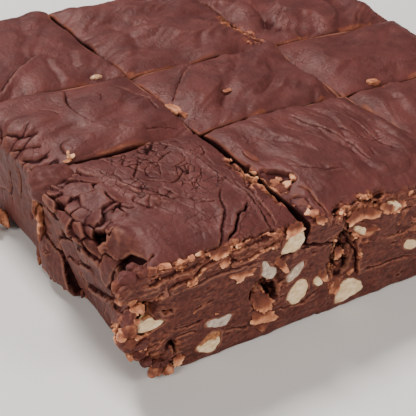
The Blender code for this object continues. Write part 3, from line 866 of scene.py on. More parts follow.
LEFT_MIDDLE_TOP = (
    ("ledge", 0.8, 3.2, ((36, 52.4), (31, 53), (27, 54.2), (24.4, 56.4), (23, 59), (22, 63),
     (22, 67), (23.4, 72), (26.4, 78))),
    ("ledge", 0.45, 2.4, ((21, 52.8), (17, 53.2), (12, 53.2), (11, 50.4), (11.4, 47.8))),
    ("crease", 0.8, 0.5, ((1, 67), (3.4, 63), (6, 60.6), (9.6, 59.6))),
    ("crease", 0.8, 0.5, ((0, 62), (2.6, 58.6), (5.8, 56.4), (8.4, 55.6))),
    ("crease", 0.8, 0.5, ((-0.4, 56.6), (2, 53.8), (5, 52), (8, 51.6))),
    ("crease", 0.7, 0.45, ((0, 51.4), (3, 49.6), (7, 49))),
    ("crease", 0.5, 0.4, ((30.6, 65.4), (31.6, 67.6), (33, 70.4))),
    ("crease", 0.35, 0.4, ((14, 70), (17, 68), (18, 64.6))),
    ("crease", 0.5, 0.5, ((38, 74), (42, 69), (44, 63), (43.6, 57))),
    ("crease", 0.4, 0.4, ((33, 49), (39, 50), (45, 49.2))),
)
CENTRE_MIDDLE_TOP = (
    ("ledge", 0.8, 2.6, ((67, 76), (62, 72), (57, 67.4), (52.6, 63), (50, 60.4)), 0.4),
    ("fold", 1.1, 2.2, ((74.6, 65.4), (77, 69), (80, 72.4), (84, 75.6))),
    ("fold", 0.66, 2.2, ((58, 52), (63, 56), (67, 61), (70, 67), (74, 73))),
    ("fold", 0.66, 2.2, ((72, 50), (77, 55), (83, 59), (88, 65), (92, 72))),
    ("fold", 0.55, 2.2, ((84, 52), (89, 56), (95, 58))),
)
LEFT_BACK_TOP = (
    ("ledge", 0.8, 3.0, ((31, 99), (26, 95.6), (20, 91.6), (14, 86.6), (9.6, 82.6))),
    ("fold", 0.88, 2.0, ((31, 95.4), (29.6, 91), (29, 86), (28, 81.6))),
    ("fold", 0.88, 2.0, ((40.4, 98.6), (38.8, 95), (37, 91), (36, 87.4))),
    ("fold", 0.66, 2.0, ((6, 98), (12, 103), (18, 110), (22, 118))),
    ("fold", 0.77, 2.0, ((24, 106), (27, 110), (26, 114))),
)
CENTRE_BACK_TOP = (
    ("fold", 1.32, 2.6, ((66, 104.6), (69, 104), (72, 103))),
    ("fold", 0.66, 2.6, ((54, 86), (60, 94), (62, 103), (60, 112))),
    ("fold", 0.66, 2.6, ((76, 84), (82, 92), (90, 97))),
    ("fold", 0.55, 2.6, ((70, 116), (78, 112), (88, 114))),
)
RIGHT_TOPS = (
    ("fold", 0.66, 2.4, ((106, 38), (112, 33), (117, 26), (119, 17), (117, 8))),
    ("fold", 0.55, 2.4, ((128, 40), (132, 33), (137, 28), (146, 24))),
    ("fold", 0.55, 2.4, ((104, 22), (108, 17), (109, 9))),
    ("fold", 0.55, 2.4, ((104, 54), (112, 58), (122, 60), (134, 66))),
    ("fold", 0.55, 2.4, ((118, 50), (128, 51), (138, 49))),
    ("fold", 0.77, 2.4, ((102, 88), (108, 94), (111, 102), (109, 110))),
    ("fold", 0.66, 2.4, ((120, 84), (127, 92), (138, 97))),
    ("fold", 0.99, 2.4, ((106, 108), (108, 110.6), (109.4, 113))),
)
STROKES = {
    (0, 0): ((TOP, NEAR_TOP), (FRONT, NEAR_FRONT), (LEFT, NEAR_LEFT)),
    (1, 0): ((TOP, CENTRE_TOP), (FRONT, CENTRE_FRONT), (FRONT, NEAR_FRONT)),
    (2, 0): ((TOP, RIGHT_TOPS), (FRONT, RIGHT_FRONT)),
    (0, 1): ((TOP, LEFT_MIDDLE_TOP), (LEFT, MIDDLE_LEFT)),
    (1, 1): ((TOP, CENTRE_MIDDLE_TOP),),
    (2, 1): ((TOP, RIGHT_TOPS),),
    (0, 2): ((TOP, LEFT_BACK_TOP),),
    (1, 2): ((TOP, CENTRE_BACK_TOP),),
    (2, 2): ((TOP, RIGHT_TOPS),),
}


def turned(points, degrees):
    """The points turned about Z, so that X runs along the given direction."""
    angle = math.radians(degrees)
    c, s = math.cos(angle), math.sin(angle)
    x, y, z = points.T
    return np.column_stack([c * x + s * y, -s * x + c * y, z])


def rounded(shares, sizes, radii):
    """Rounds a grid cube's edges: radii are (low side, high side) along X, Y and Z."""
    low, high = (np.array(side, float) for side in zip(*radii))
    from_low, from_high = shares * sizes, (1.0 - shares) * sizes
    over_low = np.clip(1.0 - from_low / low, 0.0, 1.0)
    over_high = np.clip(1.0 - from_high / high, 0.0, 1.0)
    size = np.maximum(1.0, length_of(over_low + over_high))[:, None]
    low_place = (1.0 - over_low / size) * low
    high_place = sizes - (1.0 - over_high / size) * high
    places = np.where(over_low > 0, low_place, np.where(over_high > 0, high_place, from_low))
    return places / sizes


def square_sizes(column, row):
    return np.array((
        COLUMN_CUTS[column + 1] - COLUMN_CUTS[column],
        ROW_CUTS[row + 1] - ROW_CUTS[row],
        SLAB_HEIGHT,
    ))


def form_points(shares, column, row):
    """The square's surface as in the source, with its edges rounded."""
    radii = (
        (RIM_ROUNDING if column == 0 else CUT_ROUNDING, CUT_ROUNDING),
        (FRONT_ROUNDING if row == 0 else CUT_ROUNDING, RIM_ROUNDING if row == 2 else CUT_ROUNDING),
        (BASE_ROUNDING, TOP_ROUNDING),
    )
    u, v, w = rounded(shares, square_sizes(column, row), radii).T
    x = lerp(COLUMN_CUTS[column], COLUMN_CUTS[column + 1], u)
    y = lerp(ROW_CUTS[row], ROW_CUTS[row + 1], v)
    z = w * top_height(column, row, u, v, x, y)
    for _ in range(3):
        x = lerp(left_limit(column, y, z), right_limit(column, y, z), u)
        y = lerp(front_limit(row, x, z), back_limit(row, x, z), v)
    points = np.column_stack([x, y, z])
    if column == 0 and row == 0:
        move = pushed(points, CORNER_FORMS)
        move[:, 2] *= ease(z / BASE_FADE)
        points = points + move
        points[:, 1] = np.maximum(points[:, 1], FRONT_LIMIT)
    return points


# The slanted end of the cut behind the near square: how far back it runs, how far from the cut
# it is felt, and where on the wall it starts and over what length.
SEAM_SLANT = 8.0
SEAM_SPREAD = 13.0
SEAM_START_X = 16.0
SEAM_FADE = 7.0


def slant_seam(points):
    """The cut behind the near square runs out slanted on the left wall, further back at its foot."""
    x, y, z = points.T
    slant = SEAM_SLANT * ease((SLAB_HEIGHT - z) / SLAB_HEIGHT) * ease((SEAM_START_X - x) / SEAM_FADE)
    return points + (slant * bell((y - ROW_CUTS[1]) / SEAM_SPREAD))[:, None] * (0, 1, 0)


def zone_strength(points, zones):
    strength = np.zeros(len(points))
    ragged = 0.45 * rough(points, 3.4, 68) + 0.25 * rough(points, 1.3, 69)
    for centre, reach, strong in zones:
        away = (points - np.array(centre)) / np.array(reach)
        strength = np.maximum(strength, strong * ease((1.2 + ragged - length_of(away)) / 0.6))
    return strength


def fold_skin(surface, top, rules):
    """Long soft folds, and small wrinkles across and along them."""
    direction, long, wide, height, wrinkle = rules
    points = turned(surface.points, direction)
    bent = points + 1.8 * with_zero(shaken(points, 11, (4, 5)))
    folds = rolls(bent, (long, wide, 60), 6, 0.05) - 0.3
    patches = ease(rough(points, 14, 9) * 1.6 + 0.6)
    surface.raise_by(top * 1.5 * height * folds)
    ripples = rolls(bent, (11, 3.4, 40), 7, 0.04)
    surface.raise_by(top * (0.25 + 0.75 * patches) * 0.75 * height * (ripples - 0.25))
    broad = rough(points, (17, 11, 40), 13)
    surface.raise_by(top * 2.0 * height * broad)
    fine = rolls(bent, (4.2, 1.6, 30), 10, 0.04)
    some = ease(rough(points, 8, 12) * 2 + 0.4)
    surface.raise_by(top * 2.2 * wrinkle * some * (fine - 0.2))


def crackle_skin(surface, mask):
    """A net of hair cracks where the skin has dried."""
    points = surface.points * (1, 1, 0.2)
    warped = points + 0.6 * with_zero(shaken(points, 2.5, (21, 22)))
    for size, deep, seed in ((6.0, 0.5, 23), (3.1, 0.34, 24)):
        _, wall, level = blocks(warped, (size, size * 1.25, 40), seed)
        open_part = ease(rough(points, 1.3 * size, seed) * 2.4 + 0.45)
        line = bell(wall * size / 0.12) * open_part
        lips = np.exp(-wall * size / 0.3) * open_part
        step = (level - 0.5) * (0.35 + 0.65 * open_part)
        surface.raise_by(mask * deep * (step - 0.6 * line - 0.2 * lips))
        # Painted shade in the open hair cracks.
        surface.paint_shade(EVERYWHERE, 0.8 * mask * line)


# The smooth plates that the near corner's skin and wall broke into, in the unrolled wall's flat
# places: (across, back), half length, half width, direction in degrees and lift.
CORNER_PLATES = (
    ((3.6, 43.0), 6.0, 5.6, -10, 0.2),
    ((4.7, 33.8), 3.8, 2.1, -21, 0.9),
    ((8.0, 36.2), 4.0, 1.7, -25, 0.8),
    ((11.0, 31.0), 2.9, 1.4, -22, 0.6),
    ((5.6, 27.0), 3.4, 2.5, -8, 1.0),
    ((11.8, 26.4), 3.0, 2.6, -44, 0.5),
    ((7.6, 23.9), 2.2, 0.9, -15, 0.2),
    ((7.2, 39.2), 1.6, 1.2, -20, 0.4),
    ((10.4, 37.6), 3.6, 0.9, -68, 0.9),
    ((-0.4, 36.4), 2.4, 0.9, -60, 0.5),
    ((1.6, 37.4), 2.2, 0.8, -50, 0.3),
    ((-3.4, 41.5), 2.8, 1.4, 85, 0.3),
    ((-3.2, 34.8), 2.8, 0.8, 86, 0.7),
    ((-5.2, 36.2), 2.8, 0.9, 86, 0.4),
    ((0.1, 32.2), 1.3, 1.1, -50, 1.0),
    ((-2.2, 31.8), 1.5, 1.0, -60, -1.6),
    ((0.3, 29.0), 2.4, 1.6, 0, 0.8),
    ((-4.6, 28.6), 3.2, 2.3, -75, 0.8),
    ((-8.2, 36.4), 4.4, 2.6, -75, 0.1),
    ((0.6, 25.8), 2.5, 1.6, 4, 0.9),
    ((2.8, 22.9), 2.4, 1.5, 18, 1.2),
    ((2.8, 19.7), 2.3, 0.8, 9, 0.5),
    ((-3.2, 23.6), 2.6, 1.7, -97, 0.6),
    ((-1.6, 21.4), 1.4, 1.2, -60, 0.1),
    ((4.0, 17.6), 1.9, 1.2, 13, 0.9),
    ((7.8, 20.6), 2.6, 2.2, -59, 0.4),
    ((11.0, 20.0), 3.0, 2.6, -50, 0.2),
    ((-0.6, 18.2), 1.7, 1.3, -22, -3.6),
    ((-4.4, 18.6), 2.6, 1.4, -110, 0.5),
    ((-6.6, 20.0), 3.2, 1.2, -104, 0.6),
    ((1.4, 13.6), 5.0, 2.8, -37, 1.0),
    ((-6.4, 14.2), 4.2, 2.2, 172, 0.5),
    ((-4.4, 8.8), 3.0, 2.2, 170, -2.8),
    ((-0.8, 8.2), 2.8, 2.0, -20, -3.4),
    ((-9.6, 27.4), 3.4, 3.2, -70, 0.2),
    ((-12.4, 35.0), 2.8, 3.6, -171, 0.2),
    ((-12.4, 44.5), 5.0, 4.2, -90, -0.3),
    ((-17.4, 33.4), 3.4, 3.6, -100, -0.1),
    ((-13.2, 22.6), 6.0, 4.4, -87, 0.2),
    ((-20.4, 22.0), 9.0, 4.4, -80, -0.3),
    ((-10.4, 11.0), 6.0, 2.8, -170, -0.3),
    ((-19.0, 9.0), 5.0, 4.6, -80, -0.5),
    ((-20.0, 45.0), 5.4, 4.4, -85, 0.5),
)


# Farther than any plate lies from a point, in plates.
FAR_AWAY = 99.0


def set_plates(surface, mask, plates, groove):
    """Breaks a surface into smooth plates: each domed and a little tilted, with a groove round it."""
    near = np.flatnonzero(mask > 0.02)
    spots = flat_places(surface.points[near], LEFT)
    deep = with_zero(spots)
    for size, share in ((4.0, 0.6), (1.3, 0.16)):
        spots = spots + share * shaken(deep, size, (3, 8))
    away = np.empty((len(plates), len(near)))
    tilt = np.empty_like(away)
    for index, (middle, half_long, half_wide, angle, _) in enumerate(plates):
        turn = math.radians(angle)
        rel = spots - middle
        along = rel @ (math.cos(turn), math.sin(turn)) / half_long
        across = rel @ (-math.sin(turn), math.cos(turn)) / half_wide
        square = 0.55 * np.maximum(np.abs(along), np.abs(across)) + 0.5 * np.hypot(along, across)
        away[index] = square if index else np.hypot(along, across)
        leaning = math.sin(2.3 * index) * along + math.cos(1.7 * index) * across
        tilt[index] = 0.55 * (index > 0) * leaning
    every = np.arange(len(near))
    first = away.argmin(0)
    nearest = away[first, every]
    away[first, every] = FAR_AWAY
    second = away.argmin(0)
    size = np.array([math.sqrt(plate[1] * plate[2]) for plate in plates])[first]
    wall = (away[second, every] - nearest) / 2 * size
    lifts = np.array([plate[4] for plate in plates])
    step = ease(0.5 + wall / 0.4)
    lift = lerp(lifts[second], lifts[first], step) + tilt[first, every] * ease(wall / 0.3)
    dome = 0.06 * size * (1.0 - np.minimum(nearest, 1.1) ** 2)
    open_part = 0.35 + 0.65 * ease(rough(deep, 2.6, 17) * 1.5 + 0.7)
    heights = np.zeros(len(surface.points))
    fall = groove[near] * open_part * (0.9 * bell(wall / 0.12) + 0.08 * np.exp(-wall / 0.4))
    heights[near] = mask[near] * (lift + dome - fall)
    surface.raise_by(heights, 5.0)
    # Painted shade in the grooves, and on the plates that sank below the others.
    surface.paint_shade(near, mask[near] * open_part ** 1.5 * bell(wall / 0.18))
    surface.paint_shade(near, mask[near] * ease((-lift - 0.7) / 1.0))


def crumple(surface, mask, direction, height):
    """Skin pushed into tight shiny folds."""
    points = turned(surface.points, direction)
    bent = points + 1.2 * shaken(points, 5, (36, 37, 38))
    tight = rolls(bent, (14.0, 4.4, 9.0), 39, 0.05)
    small = rolls(bent, (6.0, 2.2, 4.0), 40, 0.06)
    surface.raise_by(mask * height * (1.3 * tight + 0.3 * small - 0.4))
    # Painted shade in the creases between the folds.
    surface.paint_shade(EVERYWHERE, 0.8 * mask * ease(1.0 - tight / 0.07))


def smear_cut(surface, mask, fine):
    """The knife's smear on a cut face: shallow drags and flats, small ledges and pulled pores."""
    points = surface.points
    tilted = points + 1.6 * rough(points, 14, 31)[:, None] * (0, 0, 1)
    layers = layered(tilted, (13, 10, 4.2), 32)
    ledges = rolls(tilted, (19, 19, 3.4), 33, 0.05) - 0.25
    surface.raise_by(mask * (0.24 * layers + 0.16 * ledges))
    if not fine:
        return
    surface.raise_by(mask * 0.10 * layered(tilted, (2.6, 2.6, 1.1), 36))
    pulled = tilted * (0.55, 0.8, 1.0)
    middle, _, kind = blocks(pulled, 1.9, 34)
    pore = ease(1.0 - middle / 0.34) * (kind < 0.15)
    surface.raise_by(-0.55 * mask * pore)
    # Painted shade in the pores.
    surface.paint_shade(EVERYWHERE, 0.75 * mask * pore)
    surface.tear_at(EVERYWHERE, 0.5 * mask * ease(rough(tilted, (3.4, 3.4, 1.2), 35) * 2.6 - 1.4))


def crumble(surface, strength):
    """Rough torn fudge: broken flats of three sizes, stepped and tilted, orange-tan where they
    stand out."""
    near = np.flatnonzero(strength > 0.02)
    points, strength = surface.points[near], strength[near]
    warped = points + 0.45 * shaken(points, 1.8, (41, 42, 43))
    patch = ease(rough(points, 4.5, 44) * 1.8 + 0.75)
    heights, pale = np.zeros(len(surface.points)), np.zeros(len(near))
    for sizes, high, seed in (
        ((3.8, 3.2, 2.2), 1.1, 45), ((1.7, 1.6, 1.0), 0.45, 46), ((0.8, 0.8, 0.5), 0.12, 47),
    ):
        middle, wall, level = blocks(warped, sizes, seed)
        flats = (level - 0.55) + 0.5 * (0.5 - middle) * (2 * level - 1)
        heights[near] += strength * patch * high * flats
        deep = bell(wall * min(sizes) / (0.1 * min(sizes) + 0.03)) * patch * strength
        # Painted shade in the cracks round the lower flats.
        surface.paint_shade(near, 0.65 * deep * (level < 0.55))
        pale += high * (level - 0.4)
    surface.raise_by(heights)
    tint = ease(0.5 + 0.9 * pale + 0.3 * rough(points, 2.4, 48))
    surface.tear_at(near, strength * patch * (0.25 + 0.70 * tint))


# Where the skin or the cut broke off in thin orange-tan plates.
PLATED_ZONES = (
    ((45.8, 22.0, 35.0), (3.4, 9.0, 3.0), 0.9),
    ((46.0, 11.6, 35.0), (2.8, 5.0, 2.4), 0.8),
    ((48.6, 20.0, 34.0), (2.0, 10.0, 3.4), 0.9),
    ((30.0, 0.4, 34.0), (20.0, 1.4, 1.4), 0.5),
    ((24.0, 0.5, 31.0), (24.0, 2.0, 3.4), 0.4),
    ((88.0, 0.5, 31.0), (26.0, 2.0, 3.4), 0.4),
    ((64.0, 1.0, 31.5), (7.0, 3.0, 2.6), 0.7),
    ((97.6, 96.0, 35.0), (2.6, 9.0, 3.0), 0.8),
)


def tear_plates(surface, strength):
    """Thin torn plates, stepped and tilted, paler where they stand out."""
    near = np.flatnonzero(strength > 0.02)
    points, strength = surface.points[near], strength[near]
    warped = points + 0.5 * shaken(points, 2.2, (71, 72, 73))
    heights, pale = np.zeros(len(surface.points)), np.zeros(len(near))
    for sizes, high, seed in (((4.6, 5.4, 2.8), 0.8, 74), ((2.3, 2.7, 1.3), 0.3, 75)):
        middle, wall, level = blocks(warped, sizes, seed)
        tilt = (middle - 0.5) * (2 * level - 1)
        heights[near] += strength * high * (level - 0.55 + 0.6 * tilt)
        # Painted shade along the edges of the lower plates.
        surface.paint_shade(near, 0.9 * strength * (level < 0.5) * bell(wall * min(sizes) / 0.16))
        pale += high * (level - 0.45 + 0.4 * tilt)
    surface.raise_by(heights)
    surface.tear_at(near, strength * (0.36 + 0.44 * ease(0.5 + 1.1 * pale)))


def drag_wall(surface, mask):
    """The tin's wall: smooth, with faint drags and shallow dents."""
    points = surface.points
    drags = rough(points, (4, 1.6, 16), 51)
    dents = rough(points, (9, 6, 6), 52)
    flow = rolls(points + 1.5 * rough(points, 9, 53)[:, None], (14, 9, 5), 54, 0.08) - 0.25
    surface.raise_by(mask * (0.09 * drags + 0.22 * dents + 0.22 * flow))


# ---------------------------------------------------------------- where almonds sit in the cut faces

# The outlines of the sliced almonds that show best: corners in X and Z on the front.
NUT_OUTLINES = {
    "corner": ((2.4, 16.5), (2.7, 18.8), (4, 20.4), (5.6, 20.8), (7, 19), (8.4, 18.2),
     (9.8, 18.6), (9.6, 17), (6.5, 16.4)),
    "top_edge": ((41.2, 26.2), (41.6, 29.4), (43.2, 31.8), (45.5, 32.2), (47.2, 31.2),
     (47.8, 28.8), (46.2, 26.2)),
    "upper": ((35.5, 26.4), (36.9, 26), (38.2, 24), (40.4, 22.8), (40.8, 21), (39.6, 19.4),
     (38, 20.4), (36.4, 21.6)),
    "slanted": ((45.1, 17.2), (46, 19.6), (48, 21.6), (49.8, 22), (50.3, 20.4), (48.8, 17.6),
     (47, 15.8), (45.4, 16.2)),
    "large": ((46.4, 10.6), (47.4, 13.6), (49.8, 16), (52.4, 14.6), (53.6, 12), (53.4, 10),
     (51, 7.3), (48.6, 8.1)),
    "small": ((55, 13.6), (56, 14.4), (57.2, 13.4), (58.9, 11), (57, 10.7), (55.2, 12.2)),
    "foot": ((64.6, 2.2), (65, 5.5), (66.4, 8.2), (69, 8.9), (71.6, 7.6), (74.8, 4.4), (73, 3),
     (70, 2.6), (67, 1.6)),
    "sliver": ((21.4, 11.6), (22.6, 13.3), (26, 12.4), (29.8, 12.7), (29.4, 11), (28.4, 9.3),
     (25, 9.9)),
    "skinned": ((20.2, 5), (21.8, 6.2), (23, 8), (25, 8.8), (27.2, 8), (27.7, 4.4), (25.6, 1.7),
     (24, 2.4), (21.4, 3.6)),
    "ledge": ((65.5, 25.2), (67, 26.1), (69, 24.7), (71.5, 25.3), (73, 24), (72.2, 22),
     (70.6, 21.7), (68.6, 22.9)),
    "rim": ((74.2, 31.7), (77, 31.6), (80, 29.4), (79.6, 27.4), (77, 28.5), (75, 29.6)),
}


def uneven_outline(half_length, half_height, roll, seed):
    """Corners of an almond slice that has no outline of its own, round 0, 0."""
    dice_here = np.random.default_rng(seed)
    angles = 2 * np.pi * (np.arange(8) + dice_here.uniform(-0.3, 0.3, 8)) / 8
    reach = dice_here.uniform(0.86, 1.1, 8)
    corners = np.column_stack([half_length * reach * np.cos(angles), half_height * reach * np.sin(angles)])
    return turned(with_zero(corners), -roll)[:, :2]


def reach_at(corners, angle):
    """How far an outline reaches from 0, 0 at each angle, with its corners a little rounded."""
    steps = np.roll(corners, -1, axis=0) - corners
    total = 0.0
    for turn in (-0.16, 0.0, 0.16):
        ray = np.column_stack([np.cos(angle + turn), np.sin(angle + turn)])[:, :, None]
        cross = ray[:, 0] * steps[:, 1] - ray[:, 1] * steps[:, 0]
        cross = np.where(np.abs(cross) < 1e-9, 1e-9, cross)
        away = (corners[:, 0] * steps[:, 1] - corners[:, 1] * steps[:, 0]) / cross
        share = (corners[:, 0] * ray[:, 1] - corners[:, 1] * ray[:, 0]) / cross
        hit = (away > 0) & (share >= -0.01) & (share <= 1.01)
        total = total + np.where(hit, away, 0.0).max(1)
    return total / 3


# The first seed of the almonds in the right end. Those in the front count from 0.
END_SEED = 30


def face_nut_places():
    """Each sliced almond: its name, its face's middle, the face's axes, its outline and seed."""
    places = []
    for side, almonds, first_seed in (("front", FRONT_ALMONDS, 0), ("end", END_ALMONDS, END_SEED)):
        for seed, (label, (across, up, *half_sizes, roll)) in enumerate(almonds.items(), first_seed):
            corners = uneven_outline(*half_sizes, roll, seed)
            if label in NUT_OUTLINES:
                drawn = np.array(NUT_OUTLINES[label], float)
                across, up = drawn.mean(0)
                corners = drawn - (across, up)
            if side == "front":
                along, outward = (1, 0, 0), (0, -1, 0)
                centre = np.array((across, float(front_limit(0, across, up)), up))
            else:
                along, outward = (0, 1, 0), (1, 0, 0)
                centre = np.array((float(right_limit(2, across, up)), across, up))
            places.append((f"almond_{side}_{label}", centre, along, outward, corners, seed))
    return places


def sink_nut_beds(surface):
    """Presses the fudge back behind each sliced almond, and draws it up a little round its edge."""
    heights = np.zeros(len(surface.points))
    for _, centre, along, outward, corners, _ in face_nut_places():
        rel = surface.points - centre
        near = np.flatnonzero(length_of(rel) < 1.6 * length_of(corners).max())
        a, b = rel[near] @ along, rel[near, 2]
        past_edge = np.hypot(a, b) - reach_at(corners, np.arctan2(b, a))
        facing = ease((surface.normals[near] @ outward - 0.2) / 0.4)
        lip = bell((past_edge - 0.25) / 0.35)
        uneven = 0.5 + 1.2 * rough(surface.points[near], 2.2, 67)
        heights[near] += facing * (0.12 * lip * uneven - 1.5 * ease(-past_edge / 0.35))
        # Painted shade in the gap round the almond's edge, in places.
        surface.paint_shade(near, 0.7 * facing * ease(0.9 - uneven) * bell(past_edge / 0.22))
        smeared = ease(2 * uneven - 0.6) * np.exp(-np.maximum(past_edge, 0.0) / 0.5)
        surface.tear_at(near, 0.3 * facing * smeared)
    surface.raise_by(heights)


# How large and how much lower the whole almonds are than in the source, and how far their beds
# reach, in almonds.
TOP_NUT_SHARE = 0.66
TOP_NUT_DROP = 0.6
TOP_BED_REACH = 1.06


def top_nut_places():
    """The whole almonds at the top, which lie a little deeper than their plain forms."""
    return {
        label: (np.array(centre) - (0, 0, TOP_NUT_DROP), TOP_NUT_SHARE * np.array(half_sizes), turn)
        for label, (centre, half_sizes, turn) in TOP_ALMONDS.items()
    }


def sink_top_beds(surface):
    """Presses the fudge back from the whole almonds that show at the top."""
    for centre, half_sizes, turn in top_nut_places().values():
        rel = turned(surface.points - centre, turn) / half_sizes
        reach = length_of(rel)
        near = np.flatnonzero(reach < TOP_BED_REACH)
        out = turned(rel[near] / reach[near, None] * TOP_BED_REACH * half_sizes, -turn)
        surface.points[near] = centre + out
    surface.refresh()


def evened(mesh, values, rounds):
    """The values, each averaged with its neighbours' a number of times."""
    ends = np.empty(len(mesh.edges) * 2, np.int32)
    mesh.edges.foreach_get("vertices", ends)
    a, b = ends.reshape(-1, 2).T
    count = len(mesh.vertices)
    neighbours = np.bincount(a, minlength=count) + np.bincount(b, minlength=count)
    for _ in range(rounds):
        total = [np.bincount(a, part[b], count) + np.bincount(b, part[a], count) for part in values.T]
        values = 0.5 * values + 0.5 * np.column_stack(total) / neighbours[:, None]
    return values


def keep_finish(surface, plain, cut, step):
    """Stores the finish as a colour on the mesh: torn, painted shade, cut and painted edge highlight. An
    edge gets a painted highlight where the relief on the plain form stands out, and painted shade where it
    lies deeper than around."""
    mesh = surface.piece.data
    relief = ((surface.points - plain) * surface.normals).sum(1)[:, None]
    narrow, broad = (
        (relief - evened(mesh, relief, max(1, round((reach / step) ** 2))))[:, 0] for reach in (0.5, 1.6)
    )
    # A painted highlight on the narrow ridges that stand out.
    edge_highlight = ease(narrow / 0.06) * ease(0.5 + broad / 0.2)
    # Painted shade where the relief lies deeper than around it.
    surface.paint_shade(EVERYWHERE, (0.5 + 0.35 * cut) * ease((-broad - 0.08) / 0.34))
    surface.paint_shade(EVERYWHERE, 0.6 * ease((-narrow - 0.02) / 0.09))
    store(mesh, "finish", np.column_stack([surface.torn, surface.painted_shade, cut, edge_highlight]).clip(0, 1))
    store(mesh, "crazed", surface.crazed)


# How readily triangles are taken out where they are hidden, and where they show.
THINNING_WEIGHTS = (1.0, 0.35)


def thin_out(piece, limit, hidden):
    """Takes out triangles down to a limit, most of them where they are hidden in the cuts."""
    count = sum(len(polygon.vertices) - 2 for polygon in piece.data.polygons)
    if count <= limit:
        return
    fewer = piece.modifiers.new("fewer", "DECIMATE")
    fewer.ratio = limit / count
    group = piece.vertex_groups.new(name="hidden")
    for places, weight in zip((hidden, ~hidden), THINNING_WEIGHTS):
        group.add(np.flatnonzero(places).tolist(), weight, "REPLACE")
    fewer.vertex_group, fewer.vertex_group_factor = group.name, 1.0
    apply_modifiers(piece)
    piece.vertex_groups.clear()


# Below this height a square's points are set down on the floor.
FOOT_SNAP = 0.15
# How far a point has to face up, or out to a side, to start to belong to that face, and how much
# further to belong to it wholly.
TOP_FACING = 0.3
SIDE_FACING = 0.35
FACING_SOFTNESS = 0.4


def face_masks(normals, column, row):
    """How much each point belongs to the top, and to each outer wall."""
    x, y, z = normals.T
    return {
        TOP: ease((z - TOP_FACING) / FACING_SOFTNESS),
        FRONT: ease((-y - SIDE_FACING) / FACING_SOFTNESS) * (row == 0),
        BACK: ease((y - SIDE_FACING) / FACING_SOFTNESS) * (row == 2),
        LEFT: ease((-x - SIDE_FACING) / FACING_SOFTNESS) * (column == 0),
        RIGHT: ease((x - SIDE_FACING) / FACING_SOFTNESS) * (column == 2),
    }


def break_near_skin(surface, masks):
    """The near square's dried skin: its net of hair cracks, and the buckled plates of its corner."""
    x, y, _ = surface.points.T
    crackled = masks[TOP] * bump(x, 17, 37, 5) * bump(y, 20, 42, 4)
    surface.crazed = masks[TOP] * np.maximum(crackled, 0.4 * bump(x, 12, 46, 4))
    faint = 0.35 * bump(x, 22, 46, 4) + 0.12 * bump(x, 6, 22, 4)
    crackle_skin(surface, np.maximum(crackled, masks[TOP] * faint))
    smooth_front = ease((x - 4.5) / 2.5) * ease((20.5 - y) / 2.5)
    buckled = ease((crest_at(y) - 0.5 - 1.0 - x) / 2.0) * lerp(1.0, 0.25, ease((x - 9.5) / 3.0))
    zone = (masks[TOP] + masks[LEFT]).clip(0, 1) * buckled * (1 - smooth_front)
    z = surface.points[:, 2]
    zone *= ease((y - 3.8) / 3) * ease((z - 0.6) / 1.5)
    set_plates(surface, zone, CORNER_PLATES, lerp(0.4, 0.8, ease((z - 26) / 6)))


def tear_and_shade_rims(surface, inner):
    """Tears the top's rims beside the cuts and paints a little shade on them, and paints shade in the
    cuts' depths.
    """
    x, y, z = surface.points.T
    up = surface.normals[:, 2]
    rim = ease((0.985 - up) / 0.14) * ease((z - 30) / 3) * ease((up - 0.1) / 0.2)
    beside = np.minimum(*(
        np.abs(places[:, None] - [cuts[1:3]]).min(1) for places, cuts in ((x, COLUMN_CUTS), (y, ROW_CUTS))
    ))
    rim *= ease((3.2 - beside) / 1.5)
    # Painted shade on the rims as they round down into the cuts.
    surface.paint_shade(EVERYWHERE, 0.2 * rim)
    surface.tear_at(EVERYWHERE, rim * (0.18 + 0.26 * ease(rough(surface.points, 9.0, 61) * 2.2 + 0.35)))
    # Painted shade deep in the cuts between the squares.
    surface.paint_shade(EVERYWHERE, 0.9 * inner * ease((SLAB_HEIGHT - 0.6 - z) / 1.8))


